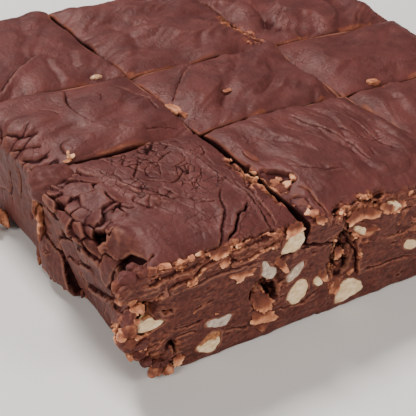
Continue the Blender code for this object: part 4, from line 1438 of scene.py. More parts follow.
def make_square(column, row, material):
    """A square of fudge. What it returns is its points, which way they face and how torn they are."""
    name = f"square_{ROW_NAMES[row]}_{COLUMN_NAMES[column]}"
    near_square = column == 0 and row == 0
    step = GRID_STEPS.get((column, row), PLAIN_STEP)
    piece = gridded_cube("fudge_" + name, square_sizes(column, row) / step)
    plain = form_points(points_of(piece.data), column, row)
    if column == 0:
        plain = slant_seam(plain)
    surface = Surface(piece, plain)
    if near_square:
        surface.move_by(pushed(surface.points, NEAR_FORMS))
    masks = face_masks(surface.normals, column, row)
    surface.crazed = 0.4 * masks[TOP] * ease(rough(surface.points, 12, 91) * 2.5 - 0.2)
    outer = sum(masks.values()).clip(0, 1)
    inner = (1 - outer) * ease((surface.points[:, 2] - 0.4) / 1.0)
    cut = (masks[FRONT] + masks[RIGHT] + inner + 0.6 * (masks[LEFT] + masks[BACK])).clip(0, 1)

    fold_skin(surface, masks[TOP], SKIN_FOLDS[column, row])
    if near_square:
        break_near_skin(surface, masks)
    if (column, row) == (0, 1):
        x, y, z = surface.points.T
        crumple(surface, bump(x, -9, 7, 4) * bump(y, 47, 66, 6) * ease((z - 29) / 4), 24, 1.1)
    _, y, z = surface.points.T
    by_crack = 0.9 * near_square * bump(y, 31.5, 39.5, 2) * bump(z, -5, 17, 4)
    for side in (LEFT, BACK):
        drag_wall(surface, masks[side] * (1 - by_crack))
    for side in (FRONT, RIGHT):
        smear_cut(surface, masks[side], True)
    smear_cut(surface, -0.3 * inner, False)
    for face, strokes in STROKES[column, row]:
        draw(surface, flat_places(surface.points, face), masks[face], strokes)
    off_floor = ease((surface.points[:, 2] - 0.5) / 1.5)
    crumble(surface, zone_strength(surface.points, CRUMBLY_ZONES) * off_floor)
    tear_plates(surface, zone_strength(surface.points, PLATED_ZONES))
    sink_nut_beds(surface)
    sink_top_beds(surface)
    tear_and_shade_rims(surface, inner)
    surface.points = inside_box(surface.points)
    z = surface.points[:, 2]
    surface.points[:, 2] = np.maximum(np.where(z < FOOT_SNAP, 0.0, z), BOX_LOW[2])
    surface.refresh()
    keep_finish(surface, plain, cut, step)
    shown = surface.points, surface.normals, surface.torn[:, None] * outer[:, None]
    thin_out(piece, TRIANGLE_LIMIT, outer < 0.3)
    settle(piece, name, material)
    return shown


def settle(piece, node, material):
    """Puts a finished piece in the slab's place, gives it its finish, and ties it to the frame."""
    place_points(piece.data, to_world(np.clip(points_of(piece.data), BOX_LOW, BOX_HIGH)))
    piece.data.materials.clear()
    piece.data.materials.append(material)
    piece.data.shade_smooth()
    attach(piece, "root")
    if node:
        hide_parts(node)


def settle_fudge(surface, plain, cut, step, node, material):
    """Ends a piece of fudge that has one finish all over. Its grid is about one step wide."""
    surface.points = inside_box(surface.points)
    surface.refresh()
    keep_finish(surface, plain, np.full(len(plain), cut), step)
    settle(surface.piece, node, material)


# ---------------------------------------------------------------- almonds

def ball(name, segments):
    maker = bpy.ops.mesh.primitive_uv_sphere_add
    return added(maker, name, segments=segments, ring_count=segments // 2, radius=1.0)


def keep_nut_finish(mesh, grain, smear, skin, glassy=0.0):
    """Stores where an almond's grain runs, and where fudge or its brown skin covers it or it is
    glassy."""
    store(mesh, "grain", grain)
    store(mesh, "finish", np.column_stack([smear, skin, 0 * smear + glassy, 0 * smear + 1]).clip(0, 1))


# How far fudge is smeared over a sliced almond from one end, and how much brown skin it kept on
# its upper edge: (smear, skin). Most have a little of each.
NUT_FINISH = {
    "almond_front_top_edge": (0.1, 0.25),
    "almond_front_upper": (0.45, 0.0),
    "almond_front_slanted": (0.4, 0.1),
    "almond_front_large": (0.2, 0.1),
    "almond_front_small": (0.15, 0.3),
    "almond_front_foot": (0.1, 0.1),
    "almond_front_corner": (0.1, 0.35),
    "almond_front_sliver": (0.25, 0.0),
    "almond_front_skinned": (0.0, 0.9),
    "almond_front_ledge": (0.35, 0.3),
    "almond_front_rim": (0.4, 0.3),
}
PLAIN_NUT_FINISH = (0.25, 0.2)
# How glassy a sliced almond looks.
GLASSY_NUTS = {"almond_front_upper": 0.9, "almond_front_slanted": 0.8, "almond_front_sliver": 1.0}
PLAIN_GLASSINESS = 0.15
SLICED_NUT_SEGMENTS = 72
WHOLE_NUT_SEGMENTS = 40


def make_sliced_almond(place, material):
    """An almond sliced by the knife: an uneven face with a few flats, and its inner half behind."""
    name, centre, along, outward, corners, seed = place
    piece = ball("nut_" + name, SLICED_NUT_SEGMENTS)
    # The ball's equator lies in the cut face: x runs along the face, y up it, z out of it.
    x, y, z = points_of(piece.data).T
    angle, radius = np.arctan2(y, x), np.hypot(x, y)
    reach = reach_at(corners, angle) * radius ** 0.75
    spots = np.column_stack([np.cos(angle) * reach, np.sin(angle) * reach, 0 * reach + seed * 5.1])
    reach = reach * (1.0 + 0.10 * rough(spots, 1.4, 59) * ease((radius - 0.5) / 0.3))
    a, b = np.cos(angle) * reach, np.sin(angle) * reach
    _, wall, level = blocks(spots + 0.5 * rough(spots, 1.6, 60)[:, None], (3.2, 2.2, 9.0), 61)
    face = 0.22 + 0.35 * (level - 0.5) * ease(wall / 0.12) + 0.10 * rough(spots, 1.1, 62)
    face = face - 0.34 * ease((radius - 0.84) / 0.16)
    depth = np.where(z > 0, face, face + z * ALMOND_DEPTH)
    points = centre + a[:, None] * along + b[:, None] * (0, 0, 1) + depth[:, None] * outward
    place_points(piece.data, inside_box(points))
    smear_share, skin_share = NUT_FINISH.get(name, PLAIN_NUT_FINISH)
    ragged = 0.3 * rough(spots, 1.3, 63)
    longest, highest = length_of(corners).max(), np.abs(corners[:, 1]).max()
    smear = ease((-a / longest + ragged - 1.0 + 1.5 * smear_share) / 0.35)
    rim = ease((radius + 1.2 * ragged - 0.80) / 0.25)
    skin = ease((b / highest + ragged - 1.05 + 1.05 * skin_share) / 0.14) * (skin_share > 0)
    covered = np.maximum(0.9 * smear, 0.35 * rim)
    keep_nut_finish(piece.data, spots, covered, skin, GLASSY_NUTS.get(name, PLAIN_GLASSINESS))
    settle(piece, name, material)


def make_whole_almond(label, centre, half_sizes, turn, material):
    """A piece of almond that shows at the top, bedded in the fudge."""
    name = "almond_" + label
    piece = ball("nut_" + name, WHOLE_NUT_SEGMENTS)
    points = points_of(piece.data)
    lumps = 1.0 + 0.08 * rough(points * 2.0, 1.0, 64) + 0.03 * rough(points * 5.0, 1.0, 65)
    shaped = np.sign(points) * np.abs(points) ** 0.85 * lumps[:, None] * 0.97 * half_sizes
    place_points(piece.data, inside_box(centre + turned(shaped, -turn)))
    ragged = 0.3 * rough(shaped, 1.2, 66)
    smear = 0.72 + 0.28 * ease((0.62 - points[:, 2] + 1.6 * ragged) / 0.5)
    keep_nut_finish(piece.data, shaped, smear, 0.5 * ease(ragged * 3))
    settle(piece, name, material)


# ---------------------------------------------------------------- the curled crumb at the wall's foot

# Where it lies, how it curls in X and Y, how thick it is, and the angles between which it curls.
CRUMB_CENTRE = (5.0, 71.5, 3.3)
CRUMB_CURL_RADII = (1.65, 3.0)
CRUMB_HALF_THICKNESS = 1.7
CRUMB_END_THICKNESS = 0.75
CRUMB_HEIGHT = 1.5
CRUMB_LIFT = 0.8
CRUMB_ENDS = (-35.0, 205.0)


def make_curled_crumb(material):
    """The large crumb: a cylinder curled up, thinner at its ends and torn all over."""
    name = "crumb_left_foot"
    piece = added(bpy.ops.mesh.primitive_cylinder_add, "fudge_" + name, vertices=40, radius=1.0, depth=1.0)
    cut_edges([(2, 60)])
    x, y, z = points_of(piece.data).T
    share = z + 0.5
    angle = np.radians(lerp(*CRUMB_ENDS, share))
    round_ends = np.sqrt(np.clip(1.0 - np.abs(2 * share - 1) ** 8, 0.05, 1.0))
    thickness = lerp(CRUMB_END_THICKNESS, CRUMB_HALF_THICKNESS, np.sin(np.pi * share)) * round_ends
    across, along = CRUMB_CURL_RADII
    grown = 1.0 + thickness * x / along
    lift = CRUMB_LIFT * np.sin(angle) + CRUMB_HEIGHT * thickness * y
    curl = np.column_stack([across * grown * np.cos(angle), along * grown * np.sin(angle), lift])
    plain = CRUMB_CENTRE + curl
    surface = Surface(piece, plain)
    surface.raise_by(0.25 * layered(surface.points, 1.8, 71) - 0.05)
    crumble(surface, np.full(len(plain), 0.45))
    surface.torn = 0.5 + 0.4 * surface.torn
    settle_fudge(surface, plain, 0.5, 0.25, name, material)


# ---------------------------------------------------------------- lumps, crumbs and flakes

# Keeps the lumps' dice apart from the other ones.
LUMP_SEED = 500
# How many flats break off a lump that is as torn and as crumbly as can be, and off a loose crumb.
LUMP_CHIPS = 8
CRUMB_CHIPS = 6


def shape_lump(points, radii, seed, chips=0, boxy=0.0):
    """An uneven lump from a ball's points, more or less boxy, with a number of flats broken off."""
    away = points + seed * 3.1
    points = points / np.abs(points).max(1)[:, None] ** boxy
    swell = 1.0 + 0.20 * rough(away * 1.1, 1.0, 81) + 0.09 * rough(away * 3.0, 1.0, 82)
    shaped = points * swell[:, None]
    dice_here = np.random.default_rng(seed + LUMP_SEED)
    for _ in range(chips):
        facing = dice_here.normal(size=3)
        facing /= length_of(facing)
        over = np.maximum(0.0, shaped @ facing - dice_here.uniform(0.45, 0.8))
        shaped = shaped - 0.92 * over[:, None] * facing
    return shaped * radii


# The lumps round the near corner, from the rim to the foot: middle, radii, how torn and how crumbly.
CORNER_LUMPS = (
    ((3.8, 42.6, 32.3), (6.2, 5.6, 4.5), 0.0, 0.0),
    ((-1.9, 1.5, 33.6), (2.1, 1.9, 1.8), 0.05, 0.05),
    ((0.8, 3.4, 34.3), (1.5, 1.4, 1.1), 0.10, 0.05),
    ((1.6, 1.5, 34.2), (1.9, 1.5, 1.3), 0.30, 0.15),
    ((3.6, 0.9, 34.0), (1.5, 1.1, 1.0), 0.60, 0.35),
    ((-3.7, 1.7, 32.0), (1.5, 1.5, 1.7), 0.45, 0.15),
    ((-2.3, 1.2, 30.0), (2.0, 1.7, 1.7), 0.55, 0.30),
    ((-3.3, 1.2, 28.7), (1.2, 1.2, 1.1), 0.60, 0.30),
    ((-0.6, 0.4, 31.8), (1.7, 1.2, 1.3), 0.50, 0.35),
    ((1.6, 0.2, 31.2), (1.4, 1.0, 1.0), 0.60, 0.50),
    ((-0.4, 1.0, 27.4), (1.2, 1.2, 1.0), 0.75, 0.60),
    ((1.0, 0.8, 25.3), (1.7, 1.3, 1.2), 0.85, 0.60),
    ((2.2, 0.8, 23.9), (1.0, 1.0, 0.8), 0.80, 0.60),
    ((1.4, 1.0, 21.4), (0.7, 0.8, 0.9), 0.75, 0.50),
    ((0.4, 1.8, 18.0), (2.0, 1.7, 1.7), 0.50, 0.90),
    ((-0.9, 2.6, 16.9), (1.5, 2.0, 1.6), 0.80, 0.90),
    ((1.0, 1.4, 15.0), (1.7, 1.5, 1.5), 0.45, 0.80),
    ((3.2, 1.4, 14.2), (2.1, 1.4, 1.7), 0.12, 0.60),
    ((1.4, 4.6, 13.0), (1.8, 2.4, 2.0), 0.72, 0.90),
    ((3.4, 1.5, 11.0), (1.7, 1.5, 1.5), 0.30, 0.80),
    ((3.8, 5.0, 8.6), (1.9, 2.6, 1.7), 0.72, 0.90),
    ((5.6, 1.4, 7.7), (1.5, 1.4, 1.3), 0.22, 0.80),
    ((7.8, 1.2, 6.4), (1.4, 1.1, 1.2), 0.30, 0.90),
    ((10.0, 1.0, 5.6), (1.4, 1.0, 1.1), 0.20, 0.90),
    ((8.6, 2.0, 3.0), (2.2, 1.6, 1.5), 0.60, 0.75),
    ((12.0, 1.6, 2.6), (2.0, 1.2, 1.5), 0.72, 0.85),
    ((6.4, 8.4, 5.0), (1.6, 2.2, 1.6), 0.50, 0.60),
)
# Crumbs on the front cut, most of them along its upper edge: X, Z and radius.
RIM_CRUMBS = (
    (4.4, 34.4, 0.9), (5.9, 34.9, 0.8), (7.3, 34.5, 1.15), (9.6, 34.7, 0.7), (10.9, 34.6, 1.0),
    (12.4, 34.2, 0.7),
    (14.1, 34.6, 0.9), (15.6, 35.2, 0.6), (17.2, 34.9, 0.85), (6.6, 33.3, 0.5), (9.0, 33.5, 0.5),
    (15.2, 28.2, 0.8), (13.6, 27.9, 0.5), (22.6, 30.4, 0.6), (24.2, 30.9, 0.7), (28.8, 28.6, 0.6),
    (31.2, 28.5, 0.8), (34.4, 29.9, 0.7), (28.0, 33.6, 0.5), (36.0, 33.8, 0.5), (20.2, 19.0, 0.7),
    (17.6, 17.6, 0.4), (24.6, 14.4, 0.5), (39.2, 33.0, 0.6), (81.8, 32.6, 0.8),
    (44.6, 20.4, 0.5), (78.4, 10.8, 0.5),
)
# Torn chips and lips that show on top, by the cuts, as in CORNER_LUMPS.
TOP_CHIPS = (
    ((49.4, 59.0, 34.3), (1.5, 2.8, 0.9), 0.74, 0.4),
    ((50.2, 55.8, 34.3), (1.1, 1.8, 0.8), 0.66, 0.4),
    ((112.4, 47.6, 34.9), (2.2, 1.5, 1.1), 0.72, 0.4),
    ((67.4, 59.0, 36.2), (1.5, 0.8, 0.4), 0.70, 0.2),
    ((52.2, 28.6, 35.2), (0.9, 3.2, 0.6), 0.40, 0.2),
    ((51.4, 2.4, 34.0), (1.3, 1.1, 0.8), 0.74, 0.4),
    ((11.4, 47.6, 35.4), (1.5, 0.7, 0.6), 1.00, 0.6),
    ((9.8, 47.0, 34.9), (1.3, 0.6, 0.5), 0.90, 0.5),
    ((10.6, 47.9, 36.2), (0.5, 0.4, 0.7), 1.00, 0.5),
)
# The squeezed-out ridge along the slanted seam on the left wall, and along the wall's foot.
SEAM_RIDGE = ((-1.0, 44.8, 33.0), (0.4, 46.0, 29), (1.8, 47, 24.5), (2.8, 47.4, 21),
              (3.9, 48.4, 17),
              (4.9, 49.8, 13), (6.0, 51, 8.6), (7.0, 52.6, 3.6))
FOOT_RIDGE = ((7.2, 52.6, 3.0), (7.0, 48.5, 1.5), (7.6, 44, 1.2), (9.4, 39.6, 1.0), (10.4, 36, 0.8))


def rim_crumbs():
    """The crumbs on the front cut as lumps, cream where they broke."""
    return [((x, float(front_limit(0, x, z)) + 0.1, z), (1.2 * size, 0.7 * size, 0.62 * size),
             0.55 + 0.42 * (index * 7 % 5) / 4, 0.9) for index, (x, z, size) in enumerate(RIM_CRUMBS)]


def ridge_lumps(route, count, radius, seed):
    """A row of uneven lumps that run together along a route."""
    dice_here = np.random.default_rng(seed)
    route = np.array(route, float)
    lumps = []
    for share in np.linspace(0, len(route) - 1.001, count):
        first = int(share)
        middle = lerp(route[first], route[first + 1], share - first) + dice_here.normal(0, 0.2, 3)
        size = radius * (0.55 + 0.75 * dice_here.random() ** 1.5)
        lumps.append((middle, (size * 0.8, size * 0.6, size * 2.2), 0.4 + 0.5 * dice_here.random(), 0.35))
    return lumps


def make_lumps(name, lumps, material, fineness=5, boxy=0.0):
    """Lumps as one piece, from a list of middles, radii, how torn and how crumbly each is."""
    balls = []
    for seed, (centre, radii, torn, crumbly) in enumerate(lumps):
        lump = added(bpy.ops.mesh.primitive_ico_sphere_add, name, subdivisions=fineness, radius=1.0)
        shaped = shape_lump(points_of(lump.data), radii, seed, round(LUMP_CHIPS * torn * crumbly), boxy)
        place_points(lump.data, turned(shaped, boxy * (seed * 67 % 50 - 25)) + np.array(centre))
        for label, value in (("torn", torn), ("crumbly", crumbly)):
            store(lump.data, label, np.full(len(lump.data.vertices), value))
        balls.append(lump)
    piece = joined(balls, name)
    plain = points_of(piece.data)
    surface = Surface(piece, plain)
    torn, crumbly = (taken(piece.data, label) for label in ("torn", "crumbly"))
    crumble(surface, 0.5 * crumbly)
    surface.torn = torn * (0.85 + 0.35 * rough(surface.points, 1.6, 88))
    settle_fudge(surface, plain, 0.3, 0.16, None, material)


def scatter_crumbs(name, surfaces, count, material, seed):
    """Loose crumbs stuck on where the fudge is torn, each half sunk in."""
    dice_here = np.random.default_rng(seed)
    model = added(bpy.ops.mesh.primitive_ico_sphere_add, name, subdivisions=2, radius=1.0)
    ball_points = points_of(model.data)
    ball_faces = np.array([polygon.vertices[:] for polygon in model.data.polygons])
    bpy.data.objects.remove(model)
    spots, facing, torn = (np.vstack(parts) for parts in zip(*surfaces))
    chance = np.clip(torn[:, 0] - 0.45, 0, 1) ** 1.5 * (facing[:, 2] < 0.6)
    chosen = dice_here.choice(len(spots), size=count, replace=False, p=chance / chance.sum())
    points, faces = [], []
    for index, spot in enumerate(chosen):
        radius = 0.2 + 0.42 * dice_here.random() ** 3
        radii = radius * dice_here.uniform(0.6, 1.25, 3)
        turn = np.array(Euler(dice_here.uniform(0, 6.3, 3)).to_matrix())
        lump = shape_lump(ball_points, radii, index, CRUMB_CHIPS) @ turn.T
        points.append(lump + spots[spot] + facing[spot] * 0.35 * radius)
        faces.append(ball_faces + index * len(ball_points))
    mesh = bpy.data.meshes.new(name)
    mesh.from_pydata(np.vstack(points).tolist(), [], np.vstack(faces).tolist())
    plain = inside_box(points_of(mesh))
    surface = Surface(linked(name, mesh), plain)
    surface.tear_at(EVERYWHERE, np.repeat(dice_here.uniform(0.45, 1.0, count), len(ball_points)))
    settle_fudge(surface, plain, 0.3, 0.5, None, material)


# Flakes of torn fudge that curl out of the front cut: corners in X and Z, how far the lower edge
# stands out, and how torn they look.
FRONT_FLAKES = (
    (((25.6, 26.2), (28, 26.6), (32.6, 25.8), (33.6, 23.7), (31.8, 23.6), (30.6, 24.3),
     (29.4, 22.5), (27.8, 23.2)), 1.0, 0.85),
    (((38.8, 26), (41.8, 24.9), (43.8, 22.3), (45, 19.6), (43.2, 20.7), (41, 23)), 0.8, 0.8),
    (((35.0, 13), (36, 14.8), (38.2, 15.6), (40.5, 14.2), (42.0, 11.6), (39.8, 9),
     (37.4, 10.8)), 1.0, 0.65),
    (((35.6, 6.5), (36.3, 10.4), (39.4, 9.3), (43.2, 8), (44.6, 6.1), (41.8, 5.4),
     (38.8, 6.2)), 1.0, 0.8),
    (((37.4, 5.8), (40.6, 6.3), (42.8, 4.6), (41, 2.4), (39, 3.6)), 0.8, 0.5),
    (((55.6, 16.2), (58.6, 15.6), (60.6, 12), (59.6, 10.8), (57.4, 13.2)), 0.4, 0.8),
    (((61, 11.8), (63.6, 11.2), (66.4, 8.6), (65.2, 5.6), (62.2, 6.2), (60.4, 9.4)), 0.5, 0.6),
    (((60, 28.4), (63, 30.6), (67, 31.2), (71, 30), (74.6, 28.4), (72, 27.4), (68, 28.4),
     (64, 27.8)), 0.9, 0.75),
    (((72, 30.6), (75.4, 32.2), (79.8, 31), (82.2, 28.6), (79, 26.8), (75.4, 28)), 0.3, 0.75),
    (((49.8, 34.7), (52.4, 34.8), (53.6, 33), (51.8, 32.2), (50, 33.2)), 0.7, 0.85),
    (((61, 20.8), (63.4, 20.4), (64, 17), (62, 16.4)), 0.7, 0.8),
    (((19.2, 34.6), (22, 35), (24.6, 34.2), (23.6, 31.8), (21.4, 31.4), (19.4, 32.8)), 0.7, 0.75),
    (((13.6, 28.6), (16.6, 29.2), (16.8, 27), (14.4, 26.6)), 0.7, 0.8),
    (((22, 30.8), (25.4, 31.6), (25.2, 29), (23, 28.4)), 0.7, 0.8),
    (((40, 31.6), (41.2, 34.3), (43.6, 35.3), (45.8, 34.5), (46.5, 32.4), (43.6, 31.8)), 0.8, 0.75),
    (((14, 1.6), (14.4, 4.4), (16, 5.2), (17.6, 3.4), (16.6, 1.4)), 0.6, 0.95),
    (((65.2, 27), (70, 26.4), (74, 25.2), (74, 22.4), (71, 20.8), (68.4, 21.6),
     (65, 24)), 0.0, 0.6),
    (((57.8, 12.4), (60, 13), (61.6, 11), (62, 1), (60, 0.4), (58, 0.8), (57.4, 6)), 0.0, 0.05),
    (((88.6, 20), (91.6, 20.6), (92.4, 18.2), (90, 17.4)), 0.6, 0.8),
    (((92, 29.2), (95.6, 28.6), (95.2, 26.2), (92.2, 26.6)), 0.6, 0.7),
    (((102, 26.2), (105.2, 26.6), (106.2, 24), (103, 23)), 0.8, 0.8),
    (((104, 17.6), (107.2, 16.8), (106.6, 14), (103.6, 14.6)), 0.8, 0.7),
    (((117.6, 30), (122, 30.8), (122.8, 28.4), (119, 27.8)), 0.7, 0.75),
    (((132.2, 20.2), (136, 19.8), (135.2, 16.8), (132.6, 17.2)), 0.7, 0.75),
)


FLAKE_GRID = {"x_subdivisions": 34, "y_subdivisions": 28}
FLAKE_THICKNESS = 0.3


def make_flakes(name, material):
    sheets = []
    for seed, (corners, out, torn) in enumerate(FRONT_FLAKES):
        sheet = added(bpy.ops.mesh.primitive_grid_add, name, size=2.0, **FLAKE_GRID)
        a, b, _ = points_of(sheet.data).T
        a, b = a * np.sqrt(1 - b * b / 2), b * np.sqrt(1 - a * a / 2)
        middle = np.mean(corners, axis=0)
        around = np.array(corners) - middle
        angle, radius = np.arctan2(b, a), np.hypot(a, b)
        rim = np.column_stack([np.cos(angle), np.sin(angle), 0 * a + seed * 5.3])
        ragged = 1.0 + 0.26 * rough(rim, 0.5, 83) + 0.30 * rough(rim, 0.2, 84)
        reach = reach_at(around, angle) * radius * ragged
        xs, zs = middle[0] + reach * np.cos(angle), middle[1] + reach * np.sin(angle)
        top, bottom = max(z for _, z in corners), min(z for _, z in corners)
        place = np.column_stack([xs, zs, 0 * a + seed])
        lift = out * ease((top - zs) / (top - bottom)) + 0.14 * rough(place, 1.4, 85)
        ys = front_limit(0, xs, zs) - 0.15 - lift + 0.3 * radius ** 6
        place_points(sheet.data, np.column_stack([xs, ys, zs]))
        thick = sheet.modifiers.new("thick", "SOLIDIFY")
        thick.thickness, thick.offset = FLAKE_THICKNESS, -1.0
        apply_modifiers(sheet)
        x, _, z = points_of(sheet.data).T
        rel = np.column_stack([x, z]) - middle
        outer = length_of(rel) / reach_at(around, np.arctan2(rel[:, 1], rel[:, 0]))
        # Each flake is paler towards its lifted lower edge and its rim: partly the paler torn fudge there,
        # partly a painted highlight where that edge catches the light.
        share = 0.8 * ease((top - z) / (top - bottom) * 1.3 - 0.1) + 0.2 * ease((outer - 0.6) / 0.35)
        store(sheet.data, "torn", torn * lerp(0.4, 1.25, share))
        sheets.append(sheet)
    piece = joined(sheets, name)
    plain = inside_box(points_of(piece.data))
    surface = Surface(piece, plain)
    torn = taken(piece.data, "torn")
    surface.raise_by(0.09 * rough(plain, 2.0, 86) + 0.02 * rough(plain, 0.6, 89))
    surface.tear_at(EVERYWHERE, torn * (0.9 + 0.35 * rough(plain, 1.7, 87)))
    settle_fudge(surface, plain, 1.0, 0.2, None, material)


# ---------------------------------------------------------------- finishes

class Nodes:
    """A material's node tree, built up node by node."""

    def __init__(self, name):
        self.material = bpy.data.materials.new(name)
        self.material.use_nodes = True
        self.tree = self.material.node_tree
        self.shader = self.tree.nodes["Principled BSDF"]
        self.place = self.add("TexCoord").outputs["Object"]

    def add(self, kind, inputs=(), **settings):
        """A new node with its settings, and its inputs by label or number: a value or a socket."""
        node = self.tree.nodes.new("ShaderNode" + kind)
        for key, value in settings.items():
            setattr(node, key, value)
        for label, value in dict(inputs).items():
            self.join(value, node.inputs[label])
        return node

    def join(self, value, socket):
        if isinstance(value, bpy.types.NodeSocket):
            self.tree.links.new(value, socket)
        else:
            socket.default_value = value

    def give(self, label, value):
        """Sets one of the surface's own properties."""
        self.join(value, self.shader.inputs[label])

    def grain(self, scale, detail=3.0, roughness=0.55, place=None):
        """Noise whose lumps are about 1 / scale metres across, from 0 to 1."""
        inputs = {"Vector": place or self.place, "Scale": scale, "Detail": detail, "Roughness": roughness}
        return self.add("TexNoise", inputs).outputs["Fac"]

    def crazing(self, size, width, bend, share):
        """Thin lines, as where a skin has dried, which the material paints dark as shade: 1 on a line and
        0 between, in patches.
        """
        noise_node = self.add("TexNoise", {"Vector": self.place, "Scale": 0.6 / size, "Detail": 4.0})
        bends = {0: noise_node.outputs["Color"], 1: (bend * size,) * 3, 2: self.place}
        away = self.add("VectorMath", bends, operation="MULTIPLY_ADD").outputs["Vector"]
        cells = self.add("TexVoronoi", {"Vector": away, "Scale": 1.0 / size}, feature="DISTANCE_TO_EDGE")
        line = self.between(cells.outputs["Distance"], 0.0, width / size, 1.0, 0.0)
        patch = self.between(self.grain(0.35 / size, 2), share, share + 0.12)
        return self.sum("MULTIPLY", line, patch)

    def stretched(self, scales, place=None):
        return self.add("Mapping", {"Vector": place or self.place, "Scale": scales}).outputs["Vector"]

    def sum(self, operation, first, second, third=0.0):
        return self.add("Math", enumerate((first, second, third)), operation=operation).outputs[0]

    def between(self, value, low, high, to_low=0.0, to_high=1.0):
        """The value's way from low to high, as a number that runs smoothly from to_low to to_high."""
        inputs = {"Value": value, "From Min": low, "From Max": high, "To Min": to_low, "To Max": to_high}
        return self.add("MapRange", inputs, interpolation_type="SMOOTHSTEP").outputs["Result"]

    def mix(self, share, first, second):
        inputs = {"Factor": share, "A": first, "B": second}
        return self.add("Mix", inputs, data_type="RGBA").outputs["Result"]

    def stored(self, label):
        """What a mesh stores for each point under a label."""
        return self.add("Attribute", attribute_name=label, attribute_type="GEOMETRY").outputs

    def finish_parts(self):
        """The four numbers of the stored finish."""
        finish = self.stored("finish")
        parts = self.add("SeparateColor", {"Color": finish["Color"]}).outputs
        return [parts[label] for label in ("Red", "Green", "Blue")] + [finish["Alpha"]]

    def bump(self, height, depth, strength, before=None):
        inputs = {"Height": height, "Distance": depth, "Strength": strength}
        if before:
            inputs["Normal"] = before
        return self.add("Bump", inputs).outputs["Normal"]


SKIN_DARK = (0.064, 0.017, 0.016, 1.0)
SKIN_LIGHT = (0.113, 0.031, 0.028, 1.0)
CUT_DARK = (0.050, 0.013, 0.011, 1.0)
CUT_LIGHT = (0.136, 0.038, 0.027, 1.0)
TORN_DARK = (0.230, 0.064, 0.030, 1.0)
TORN_LIGHT = (0.740, 0.310, 0.160, 1.0)
BROKEN_CREAM = (0.860, 0.480, 0.260, 1.0)
# Painted light: a highlight for the ridges, and the near-black shade of cracks and hollows.
EDGE_HIGHLIGHT = (0.470, 0.200, 0.125, 1.0)
CREVICE_SHADE = (0.010, 0.004, 0.005, 1.0)
SHEEN_TINT = (1.000, 0.700, 0.640, 1.0)


def fudge_material():
    """Set fudge: a satin skin, a duller smeared cut and pale crumbly tears, with painted shade in its
    cracks and hollows and painted highlights on its ridges.
    """
    n = Nodes("chocolate_fudge")
    torn, painted_shade, cut, edge_highlight = n.finish_parts()
    cloud = n.grain(110, 6, 0.62)
    speck = n.grain(900, 3, 0.6)
    streaks = n.grain(1, 4, 0.6, n.stretched((180, 180, 620)))
    skin = n.mix(n.between(cloud, 0.3, 0.72), SKIN_DARK, SKIN_LIGHT)
    face = n.mix(n.between(n.sum("MULTIPLY_ADD", speck, 0.6, n.sum("MULTIPLY", streaks, 0.4)), 0.36, 0.66),
                 CUT_DARK, CUT_LIGHT)
    where = n.stored("crazed")["Fac"]
    crazed = n.sum("MULTIPLY", n.crazing(0.0031, 0.00016, 1.2, 0.47), where)
    body = n.mix(cut, skin, face)
    patchy = n.sum("MULTIPLY_ADD", n.grain(520, 2), 0.55,
                   n.sum("MULTIPLY_ADD", n.grain(1700, 2), 0.25, -0.40))
    crumbs = n.mix(n.between(n.sum("ADD", torn, patchy), 0.35, 0.95), TORN_DARK, TORN_LIGHT)
    colour = n.mix(n.between(torn, 0.12, 0.75), body, crumbs)
    colour = n.mix(n.between(torn, 0.78, 1.0), colour, BROKEN_CREAM)
    # A painted highlight on the ridges that stand out, stronger on the cut faces.
    colour = n.mix(n.sum("MULTIPLY", edge_highlight, n.sum("MULTIPLY_ADD", cut, 0.30, 0.08)), colour, EDGE_HIGHLIGHT)
    # Painted shade, near black: first in the cracks and hollows, then in the hair cracks.
    colour = n.mix(n.between(painted_shade, 0.1, 0.9, 0.0, 0.9), colour, CREVICE_SHADE)
    n.give("Base Color", n.mix(n.sum("MULTIPLY", crazed, 0.7), colour, CREVICE_SHADE))
    dull = n.sum("MULTIPLY_ADD", cut, 0.10, n.sum("MULTIPLY", torn, 0.12))
    gloss = n.between(n.grain(420, 3), 0.3, 0.7, 0.46, 0.57)
    n.give("Roughness", n.sum("ADD", gloss, dull))
    n.give("Specular Tint", SHEEN_TINT)
    shine = n.sum("MULTIPLY_ADD", cut, -0.09, 0.32)
    n.give("Specular IOR Level", n.sum("MULTIPLY", shine, n.between(painted_shade, 0.0, 0.6, 1.0, 0.1)))
    fine = n.bump(n.grain(2600, 3, 0.6), 0.00012, 0.5)
    coarse = n.bump(n.grain(900, 4, 0.6), 0.00040, 0.6, fine)
    n.give("Normal", n.bump(n.sum("SUBTRACT", 1.0, crazed), 0.00025, 1.0, coarse))
    return n.material


NUT_FLESH = (0.900, 0.710, 0.440, 1.0)
NUT_SHADE = (0.680, 0.440, 0.210, 1.0)
GLASSY_DARK = (0.300, 0.225, 0.185, 1.0)
GLASSY_LIGHT = (0.560, 0.450, 0.370, 1.0)
NUT_SKIN_DARK = (0.190, 0.060, 0.016, 1.0)
NUT_SKIN_LIGHT = (0.420, 0.150, 0.045, 1.0)
SMEARED_FUDGE = (0.300, 0.110, 0.050, 1.0)


